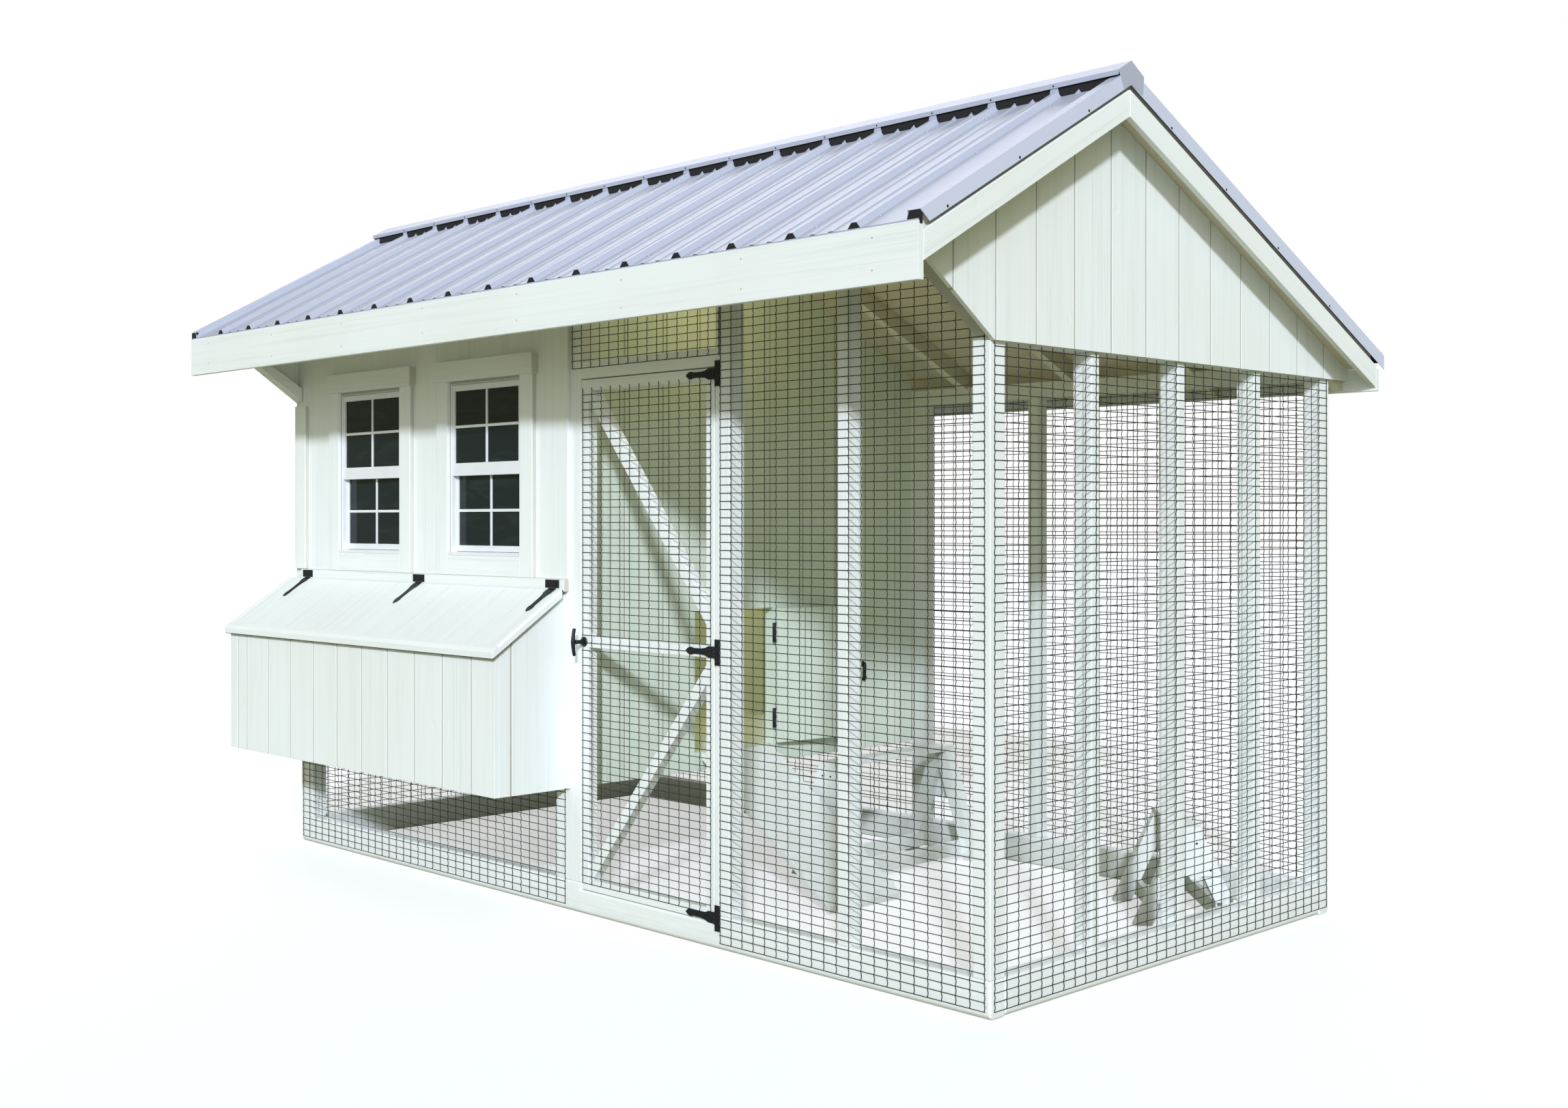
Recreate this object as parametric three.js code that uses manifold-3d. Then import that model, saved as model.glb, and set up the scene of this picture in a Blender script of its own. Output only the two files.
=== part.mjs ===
// A walk-in chicken coop, 12 ft by 6 ft: a raised house with a nest box at the left,
// a wire run with a door at the right, and one ribbed metal roof over both.
// Lengths are in inches until the last lines, which scale the whole coop to millimetres.
// X runs along the front, Y from the front wall to the back, Z up.
import * as THREE from "three";
import { mergeVertices } from "three/addons/utils/BufferGeometryUtils.js";
import Module from "manifold-3d";

const wasm = await Module();
wasm.setup();

const MM_PER_INCH = 25.4;
const GAP = 0.3 / MM_PER_INCH; // clearance kept between touching pieces

// Driving dimensions
const LENGTH = 144;
const DEPTH = 72;
const HOUSE_LENGTH = 72;
const SIDING = 0.6;
const SILL_HEIGHT = 4.2;
const SILL_DEPTH = 2.5;
const THRESHOLD = 3.2;
const STUD_DEPTH = 2.5;
const CORNER = 2.4;
const FLOOR_BOTTOM = 16.5;
const FLOOR_TOP = 18;
const WALL_TOP = 71.4; // underside of the end wall's siding
const WIRE = 0.1; // thickness of a mesh panel

// Roof. Its lines are measured on the top of the rake boards.
const RIDGE_Y = 18.65;
const RIDGE_Z = 100.08;
const FRONT_SLOPE = 0.564;
const BACK_SLOPE = 0.4667;
const EAVE_FRONT = -16.8;
const EAVE_BACK = 76.82;
const OVERHANG = 4.71;
const BOARD = 0.75;
const RAKE_HEIGHT = 3;
const FRONT_FASCIA = [75.65, 81.4];
const BACK_FASCIA = [69.86, 72.9];
const DECK_BOTTOM = -0.4;
const DECK_TOP = 1.35;
const SHEET = 0.05;
const SETBACK = 0.1; // from the front fascia's face to the metal's edge
const DRIP = 1.2; // how far the metal runs past the back fascia
const RIB_HEIGHT = 0.65;
const FLASHING_HEIGHT = 0.9; // the folded edge along each rake
const FLASHING_WIDTH = 1.4;
const RIB_PITCH = 9;
const FIRST_RIB = 5.1;
const RIB_COUNT = 16;

// Door
const DOOR_LEFT = 74.6;
const DOOR_RIGHT = 101;
const DOOR_BOTTOM = 3.35;
const DOOR_TOP = 71.25;
const DOOR_STOCK = 1.5;
const HEADER_TOP = 73.7;
const MID_RAIL = [35.65, 37.15];

// Nest box
const NEST_FRONT = -12;
const NEST_ENDS = [-0.9, 71.8];
const NEST_BOTTOM = 16.4;
const NEST_WALL = 0.6;
const NEST_COUNT = 5;
const LID_TOP = 43.3; // height of the lid's top face at its hinge
const LID_BACK = -1.45;
const LID_FRONT = -12.7;
const LID_SLOPE = 0.6745;
const LID_HEIGHT = 1.15; // measured plumb

// Windows
const WINDOW_CENTRES = { window_left: 22.85, window_right: 53.5 };
const CASING = { board: 2.9, bottom: 44.7, top: 75.6, headEar: 0.4, lining: 0.5 };
const WINDOW_OPENING = { width: 17.8, bottom: 47.5, top: 72.7 };
const MEETING_RAIL = [59, 60.8];
const UPPER_SASH = { front: -0.75, back: -0.05, bar: 66.1 };
const LOWER_SASH = { front: 0, back: 0.7, bar: 54 };

// Pop door and ramp
const POP_OPENING = { front: 22.5, back: 38.2, bottom: 19.15, top: 39.5 };
const PARTITION = 1.75;
const POP_PIN = [72.2, 38.2];
const POP_OPEN_DEGREES = 173;
const RAMP_WIDTH = 14;
const RAMP_CENTRE = 30;

function finish(color, roughness, metalness = 0) {
  return () => new THREE.MeshStandardMaterial({ color, roughness, metalness });
}
const paint = finish("#e6efec", 0.55);
const roofSheet = finish("#cfd8e4", 0.35, 0.6);
const wireMesh = finish("#33383a", 0.45, 0.8);
const blackIron = finish("#181b26", 0.4, 0.7);
const rampBoard = finish("#dfe8e2", 0.65);

// Height of the rake boards' top line at a depth y.
function roofLine(y) {
  return y < RIDGE_Y ? RIDGE_Z - FRONT_SLOPE * (RIDGE_Y - y) : RIDGE_Z - BACK_SLOPE * (y - RIDGE_Y);
}

// Moves every side of an outline inwards by a distance, or outwards if it is negative.
function inset(points, distance) {
  const area = THREE.ShapeUtils.area(points.map(([x, y]) => new THREE.Vector2(x, y)));
  const side = Math.sign(area) * distance;
  return points.map((point, i) => {
    const before = points[(i + points.length - 1) % points.length];
    const after = points[(i + 1) % points.length];
    const a = new THREE.Vector2(point[0] - before[0], point[1] - before[1]).normalize();
    const b = new THREE.Vector2(after[0] - point[0], after[1] - point[1]).normalize();
    const push = side / (1 + a.dot(b));
    return [point[0] - (a.y + b.y) * push, point[1] + (a.x + b.x) * push];
  });
}

// An extruded outline. The three directions say where the outline's x, its y and its depth point.
function extruded(outline, depth, directions) {
  const shape = new THREE.Shape(inset(outline, GAP / 2).map(([x, y]) => new THREE.Vector2(x, y)));
  const geometry = new THREE.ExtrudeGeometry(shape, { depth: depth - GAP, bevelEnabled: false });
  geometry.translate(0, 0, GAP / 2);
  return geometry.applyMatrix4(new THREE.Matrix4().makeBasis(...directions));
}

const ACROSS = new THREE.Vector3(1, 0, 0);
const INWARD = new THREE.Vector3(0, 1, 0);
const UPWARD = new THREE.Vector3(0, 0, 1);
const OUTWARD = new THREE.Vector3(0, -1, 0);

// An outline in Y and Z, extruded along X.
function sideProfile(outline, x0, x1) {
  return extruded(outline, x1 - x0, [INWARD, UPWARD, ACROSS]).translate(x0, 0, 0);
}

// An outline in X and Z, extruded along Y.
function frontProfile(outline, y0, y1) {
  return extruded(outline, y1 - y0, [ACROSS, UPWARD, OUTWARD]).translate(0, y1, 0);
}

// An outline in X and Y, extruded upwards.
function planProfile(outline, z0, z1) {
  return extruded(outline, z1 - z0, [ACROSS, INWARD, UPWARD]).translate(0, 0, z0);
}

function rectangle(a0, a1, b0, b1) {
  return [
    [a0, b0],
    [a1, b0],
    [a1, b1],
    [a0, b1],
  ];
}

function block(x0, x1, y0, y1, z0, z1) {
  return planProfile(rectangle(x0, x1, y0, y1), z0, z1);
}

// A board of a width between two points of a vertical XZ plane.
function brace(from, to, width, y0, y1) {
  const across = new THREE.Vector2(to[0] - from[0], to[1] - from[1]).normalize();
  const half = [(-across.y * width) / 2, (across.x * width) / 2];
  const corners = [
    [from[0] - half[0], from[1] - half[1]],
    [to[0] - half[0], to[1] - half[1]],
    [to[0] + half[0], to[1] + half[1]],
    [from[0] + half[0], from[1] + half[1]],
  ];
  return frontProfile(corners, y0, y1);
}

function solid(geometry) {
  const bare = new THREE.BufferGeometry();
  bare.setAttribute("position", geometry.getAttribute("position"));
  if (geometry.index) bare.setIndex(geometry.index);
  const merged = mergeVertices(bare, 1e-5);
  const vertProperties = new Float32Array(merged.getAttribute("position").array);
  const triVerts = new Uint32Array(merged.index.array);
  return new wasm.Manifold(new wasm.Mesh({ numProp: 3, vertProperties, triVerts }));
}

function geometryOf(manifold) {
  const mesh = manifold.getMesh();
  const geometry = new THREE.BufferGeometry();
  geometry.setAttribute("position", new THREE.BufferAttribute(mesh.vertProperties, 3));
  geometry.setIndex(new THREE.BufferAttribute(mesh.triVerts, 1));
  return geometry;
}

function joined(geometries) {
  return geometryOf(geometries.map(solid).reduce((whole, piece) => whole.add(piece)));
}

function cut(geometry, tools) {
  return geometryOf(tools.map(solid).reduce((rest, tool) => rest.subtract(tool), solid(geometry)));
}

function grown(x0, x1, y0, y1, z0, z1) {
  return block(x0 - GAP, x1 + GAP, y0 - GAP, y1 + GAP, z0 - GAP, z1 + GAP);
}

const coop = new THREE.Group();

function add(name, geometry, material) {
  const flat = geometry.index ? geometry.toNonIndexed() : geometry;
  flat.computeVertexNormals();
  const mesh = new THREE.Mesh(flat, material());
  mesh.name = name;
  coop.add(mesh);
  return mesh;
}

function timber(name, ...limits) {
  return add(name, block(...limits), paint);
}

// Ground frame
function groundFrame() {
  const chamfer = 0.4;
  const sill = (face, inner) => [
    [face + Math.sign(inner - face) * chamfer, 0],
    [inner, 0],
    [inner, SILL_HEIGHT],
    [face, SILL_HEIGHT],
    [face, chamfer],
  ];
  const front = sideProfile(sill(0, SILL_DEPTH), 0, LENGTH);
  const doorway = block(DOOR_LEFT - 0.1, DOOR_RIGHT + 0.2, -1, SILL_DEPTH + 1, THRESHOLD, SILL_HEIGHT + 1);
  add("sill_front", cut(front, [doorway]), paint);
  add("sill_back", sideProfile(sill(DEPTH, DEPTH - SILL_DEPTH), 0, LENGTH), paint);
  add("sill_left", frontProfile(sill(0, SILL_DEPTH), SILL_DEPTH, DEPTH - SILL_DEPTH), paint);
  add("sill_right", frontProfile(sill(LENGTH, LENGTH - SILL_DEPTH), SILL_DEPTH, DEPTH - SILL_DEPTH), paint);
}

// Posts and studs. The front plate rests on the front posts and the back plate on the back ones.
const FRONT_PLATE = [83.9, 86.3];
const BACK_PLATE = [71.2, 73.6];
const SIDE_PLATE = [WALL_TOP, WALL_TOP + 2.4];

const POSTS = {
  post_front_left: [0, 3.5, 0, STUD_DEPTH, FRONT_PLATE[0]],
  post_front_mid: [68.9, DOOR_LEFT - 0.1, 0, STUD_DEPTH, FRONT_PLATE[0]],
  post_door_hinge: [DOOR_RIGHT + 0.2, 103.7, 0, STUD_DEPTH, FRONT_PLATE[0]],
  stud_front: [121.9, 123.4, 0, STUD_DEPTH, FRONT_PLATE[0]],
  post_front_right: [LENGTH - CORNER, LENGTH, 0, STUD_DEPTH, FRONT_PLATE[0]],
  stud_right_1: [LENGTH - STUD_DEPTH, LENGTH, 18, 19.5, SIDE_PLATE[0]],
  stud_right_2: [LENGTH - STUD_DEPTH, LENGTH, 35.5, 37, SIDE_PLATE[0]],
  stud_right_3: [LENGTH - STUD_DEPTH, LENGTH, 52.9, 54.4, SIDE_PLATE[0]],
  post_back_right: [LENGTH - CORNER, LENGTH, DEPTH - CORNER, DEPTH, BACK_PLATE[0]],
  stud_back_1: [119, 120.8, DEPTH - CORNER, DEPTH, BACK_PLATE[0]],
  stud_back_2: [95.6, 97.4, DEPTH - CORNER, DEPTH, BACK_PLATE[0]],
  post_back_mid: [HOUSE_LENGTH, 74.7, DEPTH - CORNER, DEPTH, BACK_PLATE[0]],
  post_back_left: [0, CORNER, DEPTH - CORNER, DEPTH, BACK_PLATE[0]],
};

function wallFrame() {
  for (const [name, [x0, x1, y0, y1, top]] of Object.entries(POSTS)) {
    timber(name, x0, x1, y0, y1, SILL_HEIGHT, top);
  }
  const [, postEdge] = POSTS.post_front_mid;
  timber("door_header", postEdge, DOOR_RIGHT + 0.2, 0, STUD_DEPTH, WALL_TOP, HEADER_TOP);
  timber("plate_front", 0, LENGTH, 0, STUD_DEPTH, ...FRONT_PLATE);
  timber("plate_back", 0, LENGTH, DEPTH - STUD_DEPTH, DEPTH, ...BACK_PLATE);
  timber("plate_right", LENGTH - STUD_DEPTH, LENGTH, STUD_DEPTH, DEPTH - STUD_DEPTH, ...SIDE_PLATE);
}

// A flat layer of the roof from y0 to y1, between two heights over the roof line.
function roofLayer(y0, y1, low, high, x0, x1) {
  const outline = [
    [y0, roofLine(y0) + low],
    [y1, roofLine(y1) + low],
    [y1, roofLine(y1) + high],
    [y0, roofLine(y0) + high],
  ];
  return sideProfile(outline, x0, x1);
}

// One slope of ribbed metal: a thin sheet whose cross-section rises into ribs, bent down at both rakes.
function ribbedSheet(y0, y1) {
  const ribFoot = 0.9;
  const ribCrown = 0.35;
  const half = LENGTH / 2 + OVERHANG + 0.15;
  const left = LENGTH / 2 - half;
  const right = LENGTH / 2 + half;
  const flange = 0.9;
  const pan = DECK_TOP + GAP;
  const ridgeline = [[left, pan - flange]];
  ridgeline.push([left, pan + FLASHING_HEIGHT]);
  ridgeline.push([left + FLASHING_WIDTH, pan + FLASHING_HEIGHT]);
  ridgeline.push([left + FLASHING_WIDTH + ribCrown, pan]);
  for (let rib = 0; rib < RIB_COUNT; rib += 1) {
    const x = FIRST_RIB + rib * RIB_PITCH;
    ridgeline.push([x - ribFoot, pan], [x - ribCrown, pan + RIB_HEIGHT]);
    ridgeline.push([x + ribCrown, pan + RIB_HEIGHT], [x + ribFoot, pan]);
  }
  ridgeline.push([right - FLASHING_WIDTH - ribCrown, pan]);
  ridgeline.push([right - FLASHING_WIDTH, pan + FLASHING_HEIGHT]);
  ridgeline.push([right, pan + FLASHING_HEIGHT]);
  ridgeline.push([right, pan - flange]);
  const top = ridgeline.map(([x, z]) => [x, z + SHEET]);
  top[0] = [left - SHEET, pan - flange];
  top[1] = [left - SHEET, pan + FLASHING_HEIGHT + SHEET];
  top[top.length - 2] = [right + SHEET, pan + FLASHING_HEIGHT + SHEET];
  top[top.length - 1] = [right + SHEET, pan - flange];
  const section = [...ridgeline, ...top.reverse()];
  const shape = new THREE.Shape(section.map(([x, z]) => new THREE.Vector2(x, z)));
  const geometry = new THREE.ExtrudeGeometry(shape, { depth: y1 - y0, bevelEnabled: false });
  const rise = (roofLine(y1) - roofLine(y0)) / (y1 - y0);
  const sheared = new THREE.Matrix4().makeBasis(ACROSS, UPWARD, new THREE.Vector3(0, -1, -rise));
  return geometry.applyMatrix4(sheared).translate(0, y1, roofLine(y1));
}

function ridgeCap() {
  const apex = 103.25;
  const halfWidth = 2.45;
  const drop = 1.4;
  const hem = 0.55;
  const outline = [
    [RIDGE_Y - halfWidth, apex - drop - hem],
    [RIDGE_Y - halfWidth + 0.08, apex - drop - hem],
    [RIDGE_Y - halfWidth + 0.08, apex - drop - 0.08],
    [RIDGE_Y, apex - 0.12],
    [RIDGE_Y + halfWidth - 0.08, apex - drop - 0.08],
    [RIDGE_Y + halfWidth - 0.08, apex - drop - hem],
    [RIDGE_Y + halfWidth, apex - drop - hem],
    [RIDGE_Y + halfWidth, apex - drop],
    [RIDGE_Y, apex],
    [RIDGE_Y - halfWidth, apex - drop],
  ];
  return sideProfile(outline, -OVERHANG - 0.15, LENGTH + OVERHANG + 0.15);
}

function rakeBoard(x0, x1) {
  const y0 = EAVE_FRONT + BOARD;
  const y1 = EAVE_BACK - BOARD;
  const outline = [
    [y0, roofLine(y0) - RAKE_HEIGHT],
    [RIDGE_Y, RIDGE_Z - RAKE_HEIGHT],
    [y1, roofLine(y1) - RAKE_HEIGHT],
    [y1, roofLine(y1)],
    [RIDGE_Y, RIDGE_Z],
    [y0, roofLine(y0)],
  ];
  return sideProfile(outline, x0, x1);
}

function roof() {
  const inner = [-OVERHANG + BOARD, LENGTH + OVERHANG - BOARD];
  const outer = [-OVERHANG, LENGTH + OVERHANG];
  const deckFront = EAVE_FRONT + BOARD;
  const deckBack = EAVE_BACK - BOARD;
  add("roof_deck_front", roofLayer(deckFront, RIDGE_Y, DECK_BOTTOM, DECK_TOP, ...inner), paint);
  add("roof_deck_back", roofLayer(RIDGE_Y, deckBack, DECK_BOTTOM, DECK_TOP, ...inner), paint);
  add("roof_metal_front", ribbedSheet(EAVE_FRONT + SETBACK, RIDGE_Y - GAP), roofSheet);
  add("roof_metal_back", ribbedSheet(RIDGE_Y + GAP, EAVE_BACK + DRIP), roofSheet);
  add("ridge_cap", ridgeCap(), roofSheet);
  timber("fascia_front", ...outer, EAVE_FRONT, EAVE_FRONT + BOARD, ...FRONT_FASCIA);
  timber("fascia_back", ...outer, EAVE_BACK - BOARD, EAVE_BACK, ...BACK_FASCIA);
  add("rake_board_left", rakeBoard(outer[0], inner[0]), paint);
  add("rake_board_right", rakeBoard(inner[1], outer[1]), paint);
}

// Walls
const WING_SLOPE = 0.7;

// The siding of an end wall above the wire, with its wing under the front overhang.
function gableOutline() {
  const under = (y) => roofLine(y) + DECK_BOTTOM;
  const back = EAVE_BACK - BOARD;
  const wing = (under(0) - WALL_TOP) / (WING_SLOPE + FRONT_SLOPE);
  return [
    [0, WALL_TOP],
    [back, WALL_TOP],
    [back, under(back)],
    [RIDGE_Y, under(RIDGE_Y)],
    [-wing, under(-wing)],
  ];
}

function nestEntries() {
  const [left, right] = [POSTS.post_front_left[1], POSTS.post_front_mid[0]];
  const pitch = (right - left) / NEST_COUNT;
  const width = 10.6;
  const entries = [];
  for (let nest = 0; nest < NEST_COUNT; nest += 1) {
    const centre = left + (nest + 0.5) * pitch;
    entries.push(rectangle(centre - width / 2, centre + width / 2, FLOOR_TOP + 1, FLOOR_TOP + 14));
  }
  return entries;
}

function windowOpening(centre) {
  const { width, bottom, top } = WINDOW_OPENING;
  return rectangle(centre - width / 2, centre + width / 2, bottom, top);
}

function walls() {
  const [, ...upper] = gableOutline();
  const houseEnd = [
    [-SIDING, WALL_TOP + WING_SLOPE * SIDING],
    [-SIDING, FLOOR_BOTTOM],
    [DEPTH + SIDING, FLOOR_BOTTOM],
    [DEPTH + SIDING, WALL_TOP],
    ...upper,
  ];
  add("gable_right", sideProfile(gableOutline(), LENGTH, LENGTH + SIDING), paint);
  add("wall_left", sideProfile(houseEnd, -SIDING, 0), paint);
  const openings = [...Object.values(WINDOW_CENTRES).map(windowOpening), ...nestEntries()];
  const front = block(0, 72.3, -SIDING, 0, FLOOR_BOTTOM, FRONT_PLATE[1]);
  add("wall_front", cut(front, openings.map((opening) => frontProfile(opening, -SIDING - 1, 1))), paint);
  timber("wall_back", 0, 72.3, DEPTH, DEPTH + SIDING, FLOOR_BOTTOM, WALL_TOP - GAP);
  const under = (y) => roofLine(y) + DECK_BOTTOM;
  const partitionOutline = [
    [STUD_DEPTH, FLOOR_BOTTOM],
    [DEPTH - STUD_DEPTH, FLOOR_BOTTOM],
    [DEPTH - STUD_DEPTH, under(DEPTH - STUD_DEPTH)],
    [RIDGE_Y, under(RIDGE_Y)],
    [STUD_DEPTH, under(STUD_DEPTH)],
  ];
  const { front: popFront, back: popBack, bottom, top } = POP_OPENING;
  const opening = block(HOUSE_LENGTH - PARTITION - 1, HOUSE_LENGTH + 1, popFront, popBack, bottom, top);
  const partition = sideProfile(partitionOutline, HOUSE_LENGTH - PARTITION, HOUSE_LENGTH);
  add("partition", cut(partition, [opening]), paint);
  const floor = block(0, HOUSE_LENGTH - PARTITION, 0, DEPTH, FLOOR_BOTTOM, FLOOR_TOP);
  const notches = ["post_front_left", "post_front_mid", "post_back_left"].map((name) => {
    const [x0, x1, y0, y1] = POSTS[name];
    return grown(x0 - 1, x1, y0 < 1 ? y0 - 1 : y0, y0 < 1 ? y1 : y1 + 1, FLOOR_BOTTOM - 1, FLOOR_TOP + 1);
  });
  add("house_floor", cut(floor, notches), paint);
}

// Nest box: a tray against the wall, open behind and above, divided into nests, under a hinged lid.
function nestBox() {
  const [left, right] = NEST_ENDS;
  const front = NEST_FRONT;
  const lidUnder = (y) => LID_TOP - LID_SLOPE * (LID_BACK - y) - LID_HEIGHT;
  const end = [
    [front, NEST_BOTTOM],
    [-SIDING, NEST_BOTTOM],
    [-SIDING, lidUnder(-SIDING) - 0.1],
    [front, lidUnder(front) - 0.1],
  ];
  const entries = nestEntries();
  const walls = [left + NEST_WALL / 2];
  for (let nest = 1; nest < NEST_COUNT; nest += 1) {
    walls.push((entries[nest - 1][1][0] + entries[nest][0][0]) / 2);
  }
  walls.push(right - NEST_WALL / 2);
  const hollows = entries.map((entry, nest) => {
    const [x0, x1] = [walls[nest] + NEST_WALL / 2, walls[nest + 1] - NEST_WALL / 2];
    return block(x0, x1, front + NEST_WALL, 1, NEST_BOTTOM + 1, LID_TOP + 1);
  });
  add("nest_box", cut(sideProfile(end, left, right), hollows), paint);
  const lid = [
    [LID_FRONT, LID_TOP - LID_SLOPE * (LID_BACK - LID_FRONT) - LID_HEIGHT],
    [LID_BACK, LID_TOP - LID_HEIGHT],
    [LID_BACK, LID_TOP],
    [LID_FRONT, LID_TOP - LID_SLOPE * (LID_BACK - LID_FRONT)],
  ];
  add("nest_lid", sideProfile(lid, -1.5, 72.4), paint);
  timber("nest_ledger", 2.2, 72.5, -1.35, -SIDING, 43, CASING.bottom);
}

// A window's fixed half: casing, jamb lining and the upper sash with its pane.
function windowFrame(name, centre) {
  const { bottom, top, board, headEar, lining } = CASING;
  const opening = WINDOW_OPENING;
  const overlap = 0.1;
  const reveal = opening.width / 2;
  const half = reveal + board;
  const head = half + headEar;
  const face = -SIDING - BOARD;
  const boards = [
    block(centre - half, centre - reveal + overlap, face, -SIDING, bottom, top - headEar),
    block(centre + reveal - overlap, centre + half, face, -SIDING, bottom, top - headEar),
    block(centre - head, centre + head, face - headEar, -SIDING, opening.top - overlap, top),
    block(centre - half, centre + half, face, -SIDING, bottom, opening.bottom + overlap),
    block(centre - reveal, centre - reveal + lining, face, 1.5, opening.bottom, opening.top),
    block(centre + reveal - lining, centre + reveal, face, 1.5, opening.bottom, opening.top),
    block(centre - reveal, centre + reveal, face, 1.5, opening.top - lining, opening.top),
    block(centre - reveal, centre + reveal, face, 1.5, opening.bottom, opening.bottom + lining),
  ];
  const sashHalf = reveal - lining + 0.05;
  const limits = [MEETING_RAIL[0], opening.top - lining + 0.05];
  const upper = sashPieces([centre - sashHalf, centre + sashHalf], limits, UPPER_SASH);
  add(name, joined([...boards, ...upper]), paint);
}

// A sash: four rails, a cross of muntins and a pane.
function sashPieces([x0, x1], [z0, z1], { front: y0, back: y1, bar }) {
  const rail = 1.05;
  const muntin = 0.7;
  const middle = (x0 + x1) / 2;
  const pane = (y0 + y1) / 2;
  return [
    block(x0, x0 + rail, y0, y1, z0, z1),
    block(x1 - rail, x1, y0, y1, z0, z1),
    block(x0, x1, y0, y1, z0, z0 + rail),
    block(x0, x1, y0, y1, z1 - rail, z1),
    block(middle - muntin / 2, middle + muntin / 2, y0, y1, z0, z1),
    block(x0, x1, y0, y1, bar - muntin / 2, bar + muntin / 2),
    block(x0 + 0.4, x1 - 0.4, pane - 0.08, pane + 0.08, z0 + 0.4, z1 - 0.4),
  ];
}

function windows() {
  const play = CASING.lining + 0.06;
  const reveal = WINDOW_OPENING.width / 2 - play;
  for (const [name, centre] of Object.entries(WINDOW_CENTRES)) {
    windowFrame(`${name}_frame`, centre);
    const limits = [WINDOW_OPENING.bottom + play, MEETING_RAIL[1] - 0.1];
    const pieces = sashPieces([centre - reveal, centre + reveal], limits, LOWER_SASH);
    add(`${name}_sash`, joined(pieces), paint);
  }
}

// Run door: a braced frame flush with the posts, wire on its face, three strap hinges and a turning handle.
const HINGE_HEIGHTS = { bottom: 3.87, middle: 36.38, top: 70.53 };
const STRAP = { thickness: 0.12, length: 5.1, root: 0.7, waist: 0.36, tip: 0.48 };

function hingeStrap(height) {
  const { thickness, length, root, waist, tip } = STRAP;
  const tipX = DOOR_RIGHT - length;
  const upper = [
    [DOOR_RIGHT, root],
    [DOOR_RIGHT - 0.9, root],
    [DOOR_RIGHT - 2.2, waist],
    [tipX + 1.3, waist],
    [tipX + 0.8, tip],
  ];
  const outline = [
    ...upper.map(([x, z]) => [x, height + z]),
    [tipX, height],
    ...upper.reverse().map(([x, z]) => [x, height - z]),
  ];
  return frontProfile(outline, -WIRE - thickness, -WIRE);
}

function doorHandle() {
  const [low, high] = [34.8, 38.3];
  const middle = (low + high) / 2;
  const x = DOOR_LEFT + 0.7;
  const rail = MID_RAIL[0] + 0.75;
  const neck = new THREE.CylinderGeometry(0.3, 0.4, 1.6, 16).translate(x, -WIRE - 0.85, rail);
  const rose = new THREE.CylinderGeometry(0.65, 0.65, 0.25, 24).translate(x, -WIRE - 0.15, rail);
  const section = new THREE.Shape().absarc(0, 0, 0.26, 0, 2 * Math.PI, false);
  const bow = new THREE.QuadraticBezierCurve3(
    new THREE.Vector3(x, -1.75, low),
    new THREE.Vector3(x, -2.2, middle),
    new THREE.Vector3(x, -1.75, high),
  );
  const options = { steps: 8, curveSegments: 5, extrudePath: bow };
  return joined([neck, rose, new THREE.ExtrudeGeometry(section, options)]);
}

function door() {
  const [x0, x1] = [DOOR_LEFT, DOOR_RIGHT];
  const inner = [x0 + DOOR_STOCK, x1 - DOOR_STOCK];
  const [low, high] = MID_RAIL;
  const frame = [
    block(x0, inner[0] + GAP, 0, DOOR_STOCK, DOOR_BOTTOM, DOOR_TOP),
    block(inner[1] - GAP, x1, 0, DOOR_STOCK, DOOR_BOTTOM, DOOR_TOP),
    block(x0, x1, 0, DOOR_STOCK, DOOR_BOTTOM, DOOR_BOTTOM + DOOR_STOCK),
    block(x0, x1, 0, DOOR_STOCK, low, high),
    block(x0, x1, 0, DOOR_STOCK, DOOR_TOP - DOOR_STOCK, DOOR_TOP),
    brace([x0 + 1, DOOR_BOTTOM + 1], [inner[1] + 0.4, low - 1.6], DOOR_STOCK, 0, DOOR_STOCK),
    brace([x0 + 1, DOOR_TOP - 1], [inner[1] + 0.4, high + 3.2], DOOR_STOCK, 0, DOOR_STOCK),
  ];
  add("door_frame", joined(frame), paint);
  add("mesh_door", block(x0 + 0.25, x1 - 0.5, -WIRE, 0, 4.2, 70.24), wireMesh);
  for (const [place, height] of Object.entries(HINGE_HEIGHTS)) {
    add(`door_hinge_${place}`, hingeStrap(height), blackIron);
  }
  add("door_handle", doorHandle(), blackIron);
}

// Wire panels, each over the outer face of its opening.
function wirePanels() {
  const low = 0.8;
  const edge = 0.6;
  const side = [[edge, low], [DEPTH - edge, low], [DEPTH - edge, WALL_TOP], [edge, WALL_TOP]];
  const face = (x0, x1, z0, z1) => block(x0, x1, -WIRE, 0, z0, z1);
  const back = (x0, x1, z0, z1) => block(x0, x1, DEPTH, DEPTH + WIRE, z0, z1);
  add("mesh_front_run", face(DOOR_RIGHT + 1, LENGTH - edge, low, FRONT_PLATE[0]), wireMesh);
  add("mesh_transom", face(72.6, DOOR_RIGHT + 1, 72.8, FRONT_PLATE[0]), wireMesh);
  add("mesh_front_lower", face(edge, 71.24, low, FLOOR_BOTTOM), wireMesh);
  add("mesh_right", sideProfile(side, LENGTH, LENGTH + WIRE), wireMesh);
  add("mesh_back_run", back(72.6, LENGTH - edge, low, WALL_TOP), wireMesh);
  add("mesh_back_lower", back(edge, 72.6, low, FLOOR_BOTTOM), wireMesh);
  add("mesh_left", block(-WIRE, 0, edge, DEPTH - edge, low, FLOOR_BOTTOM), wireMesh);
}

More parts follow.
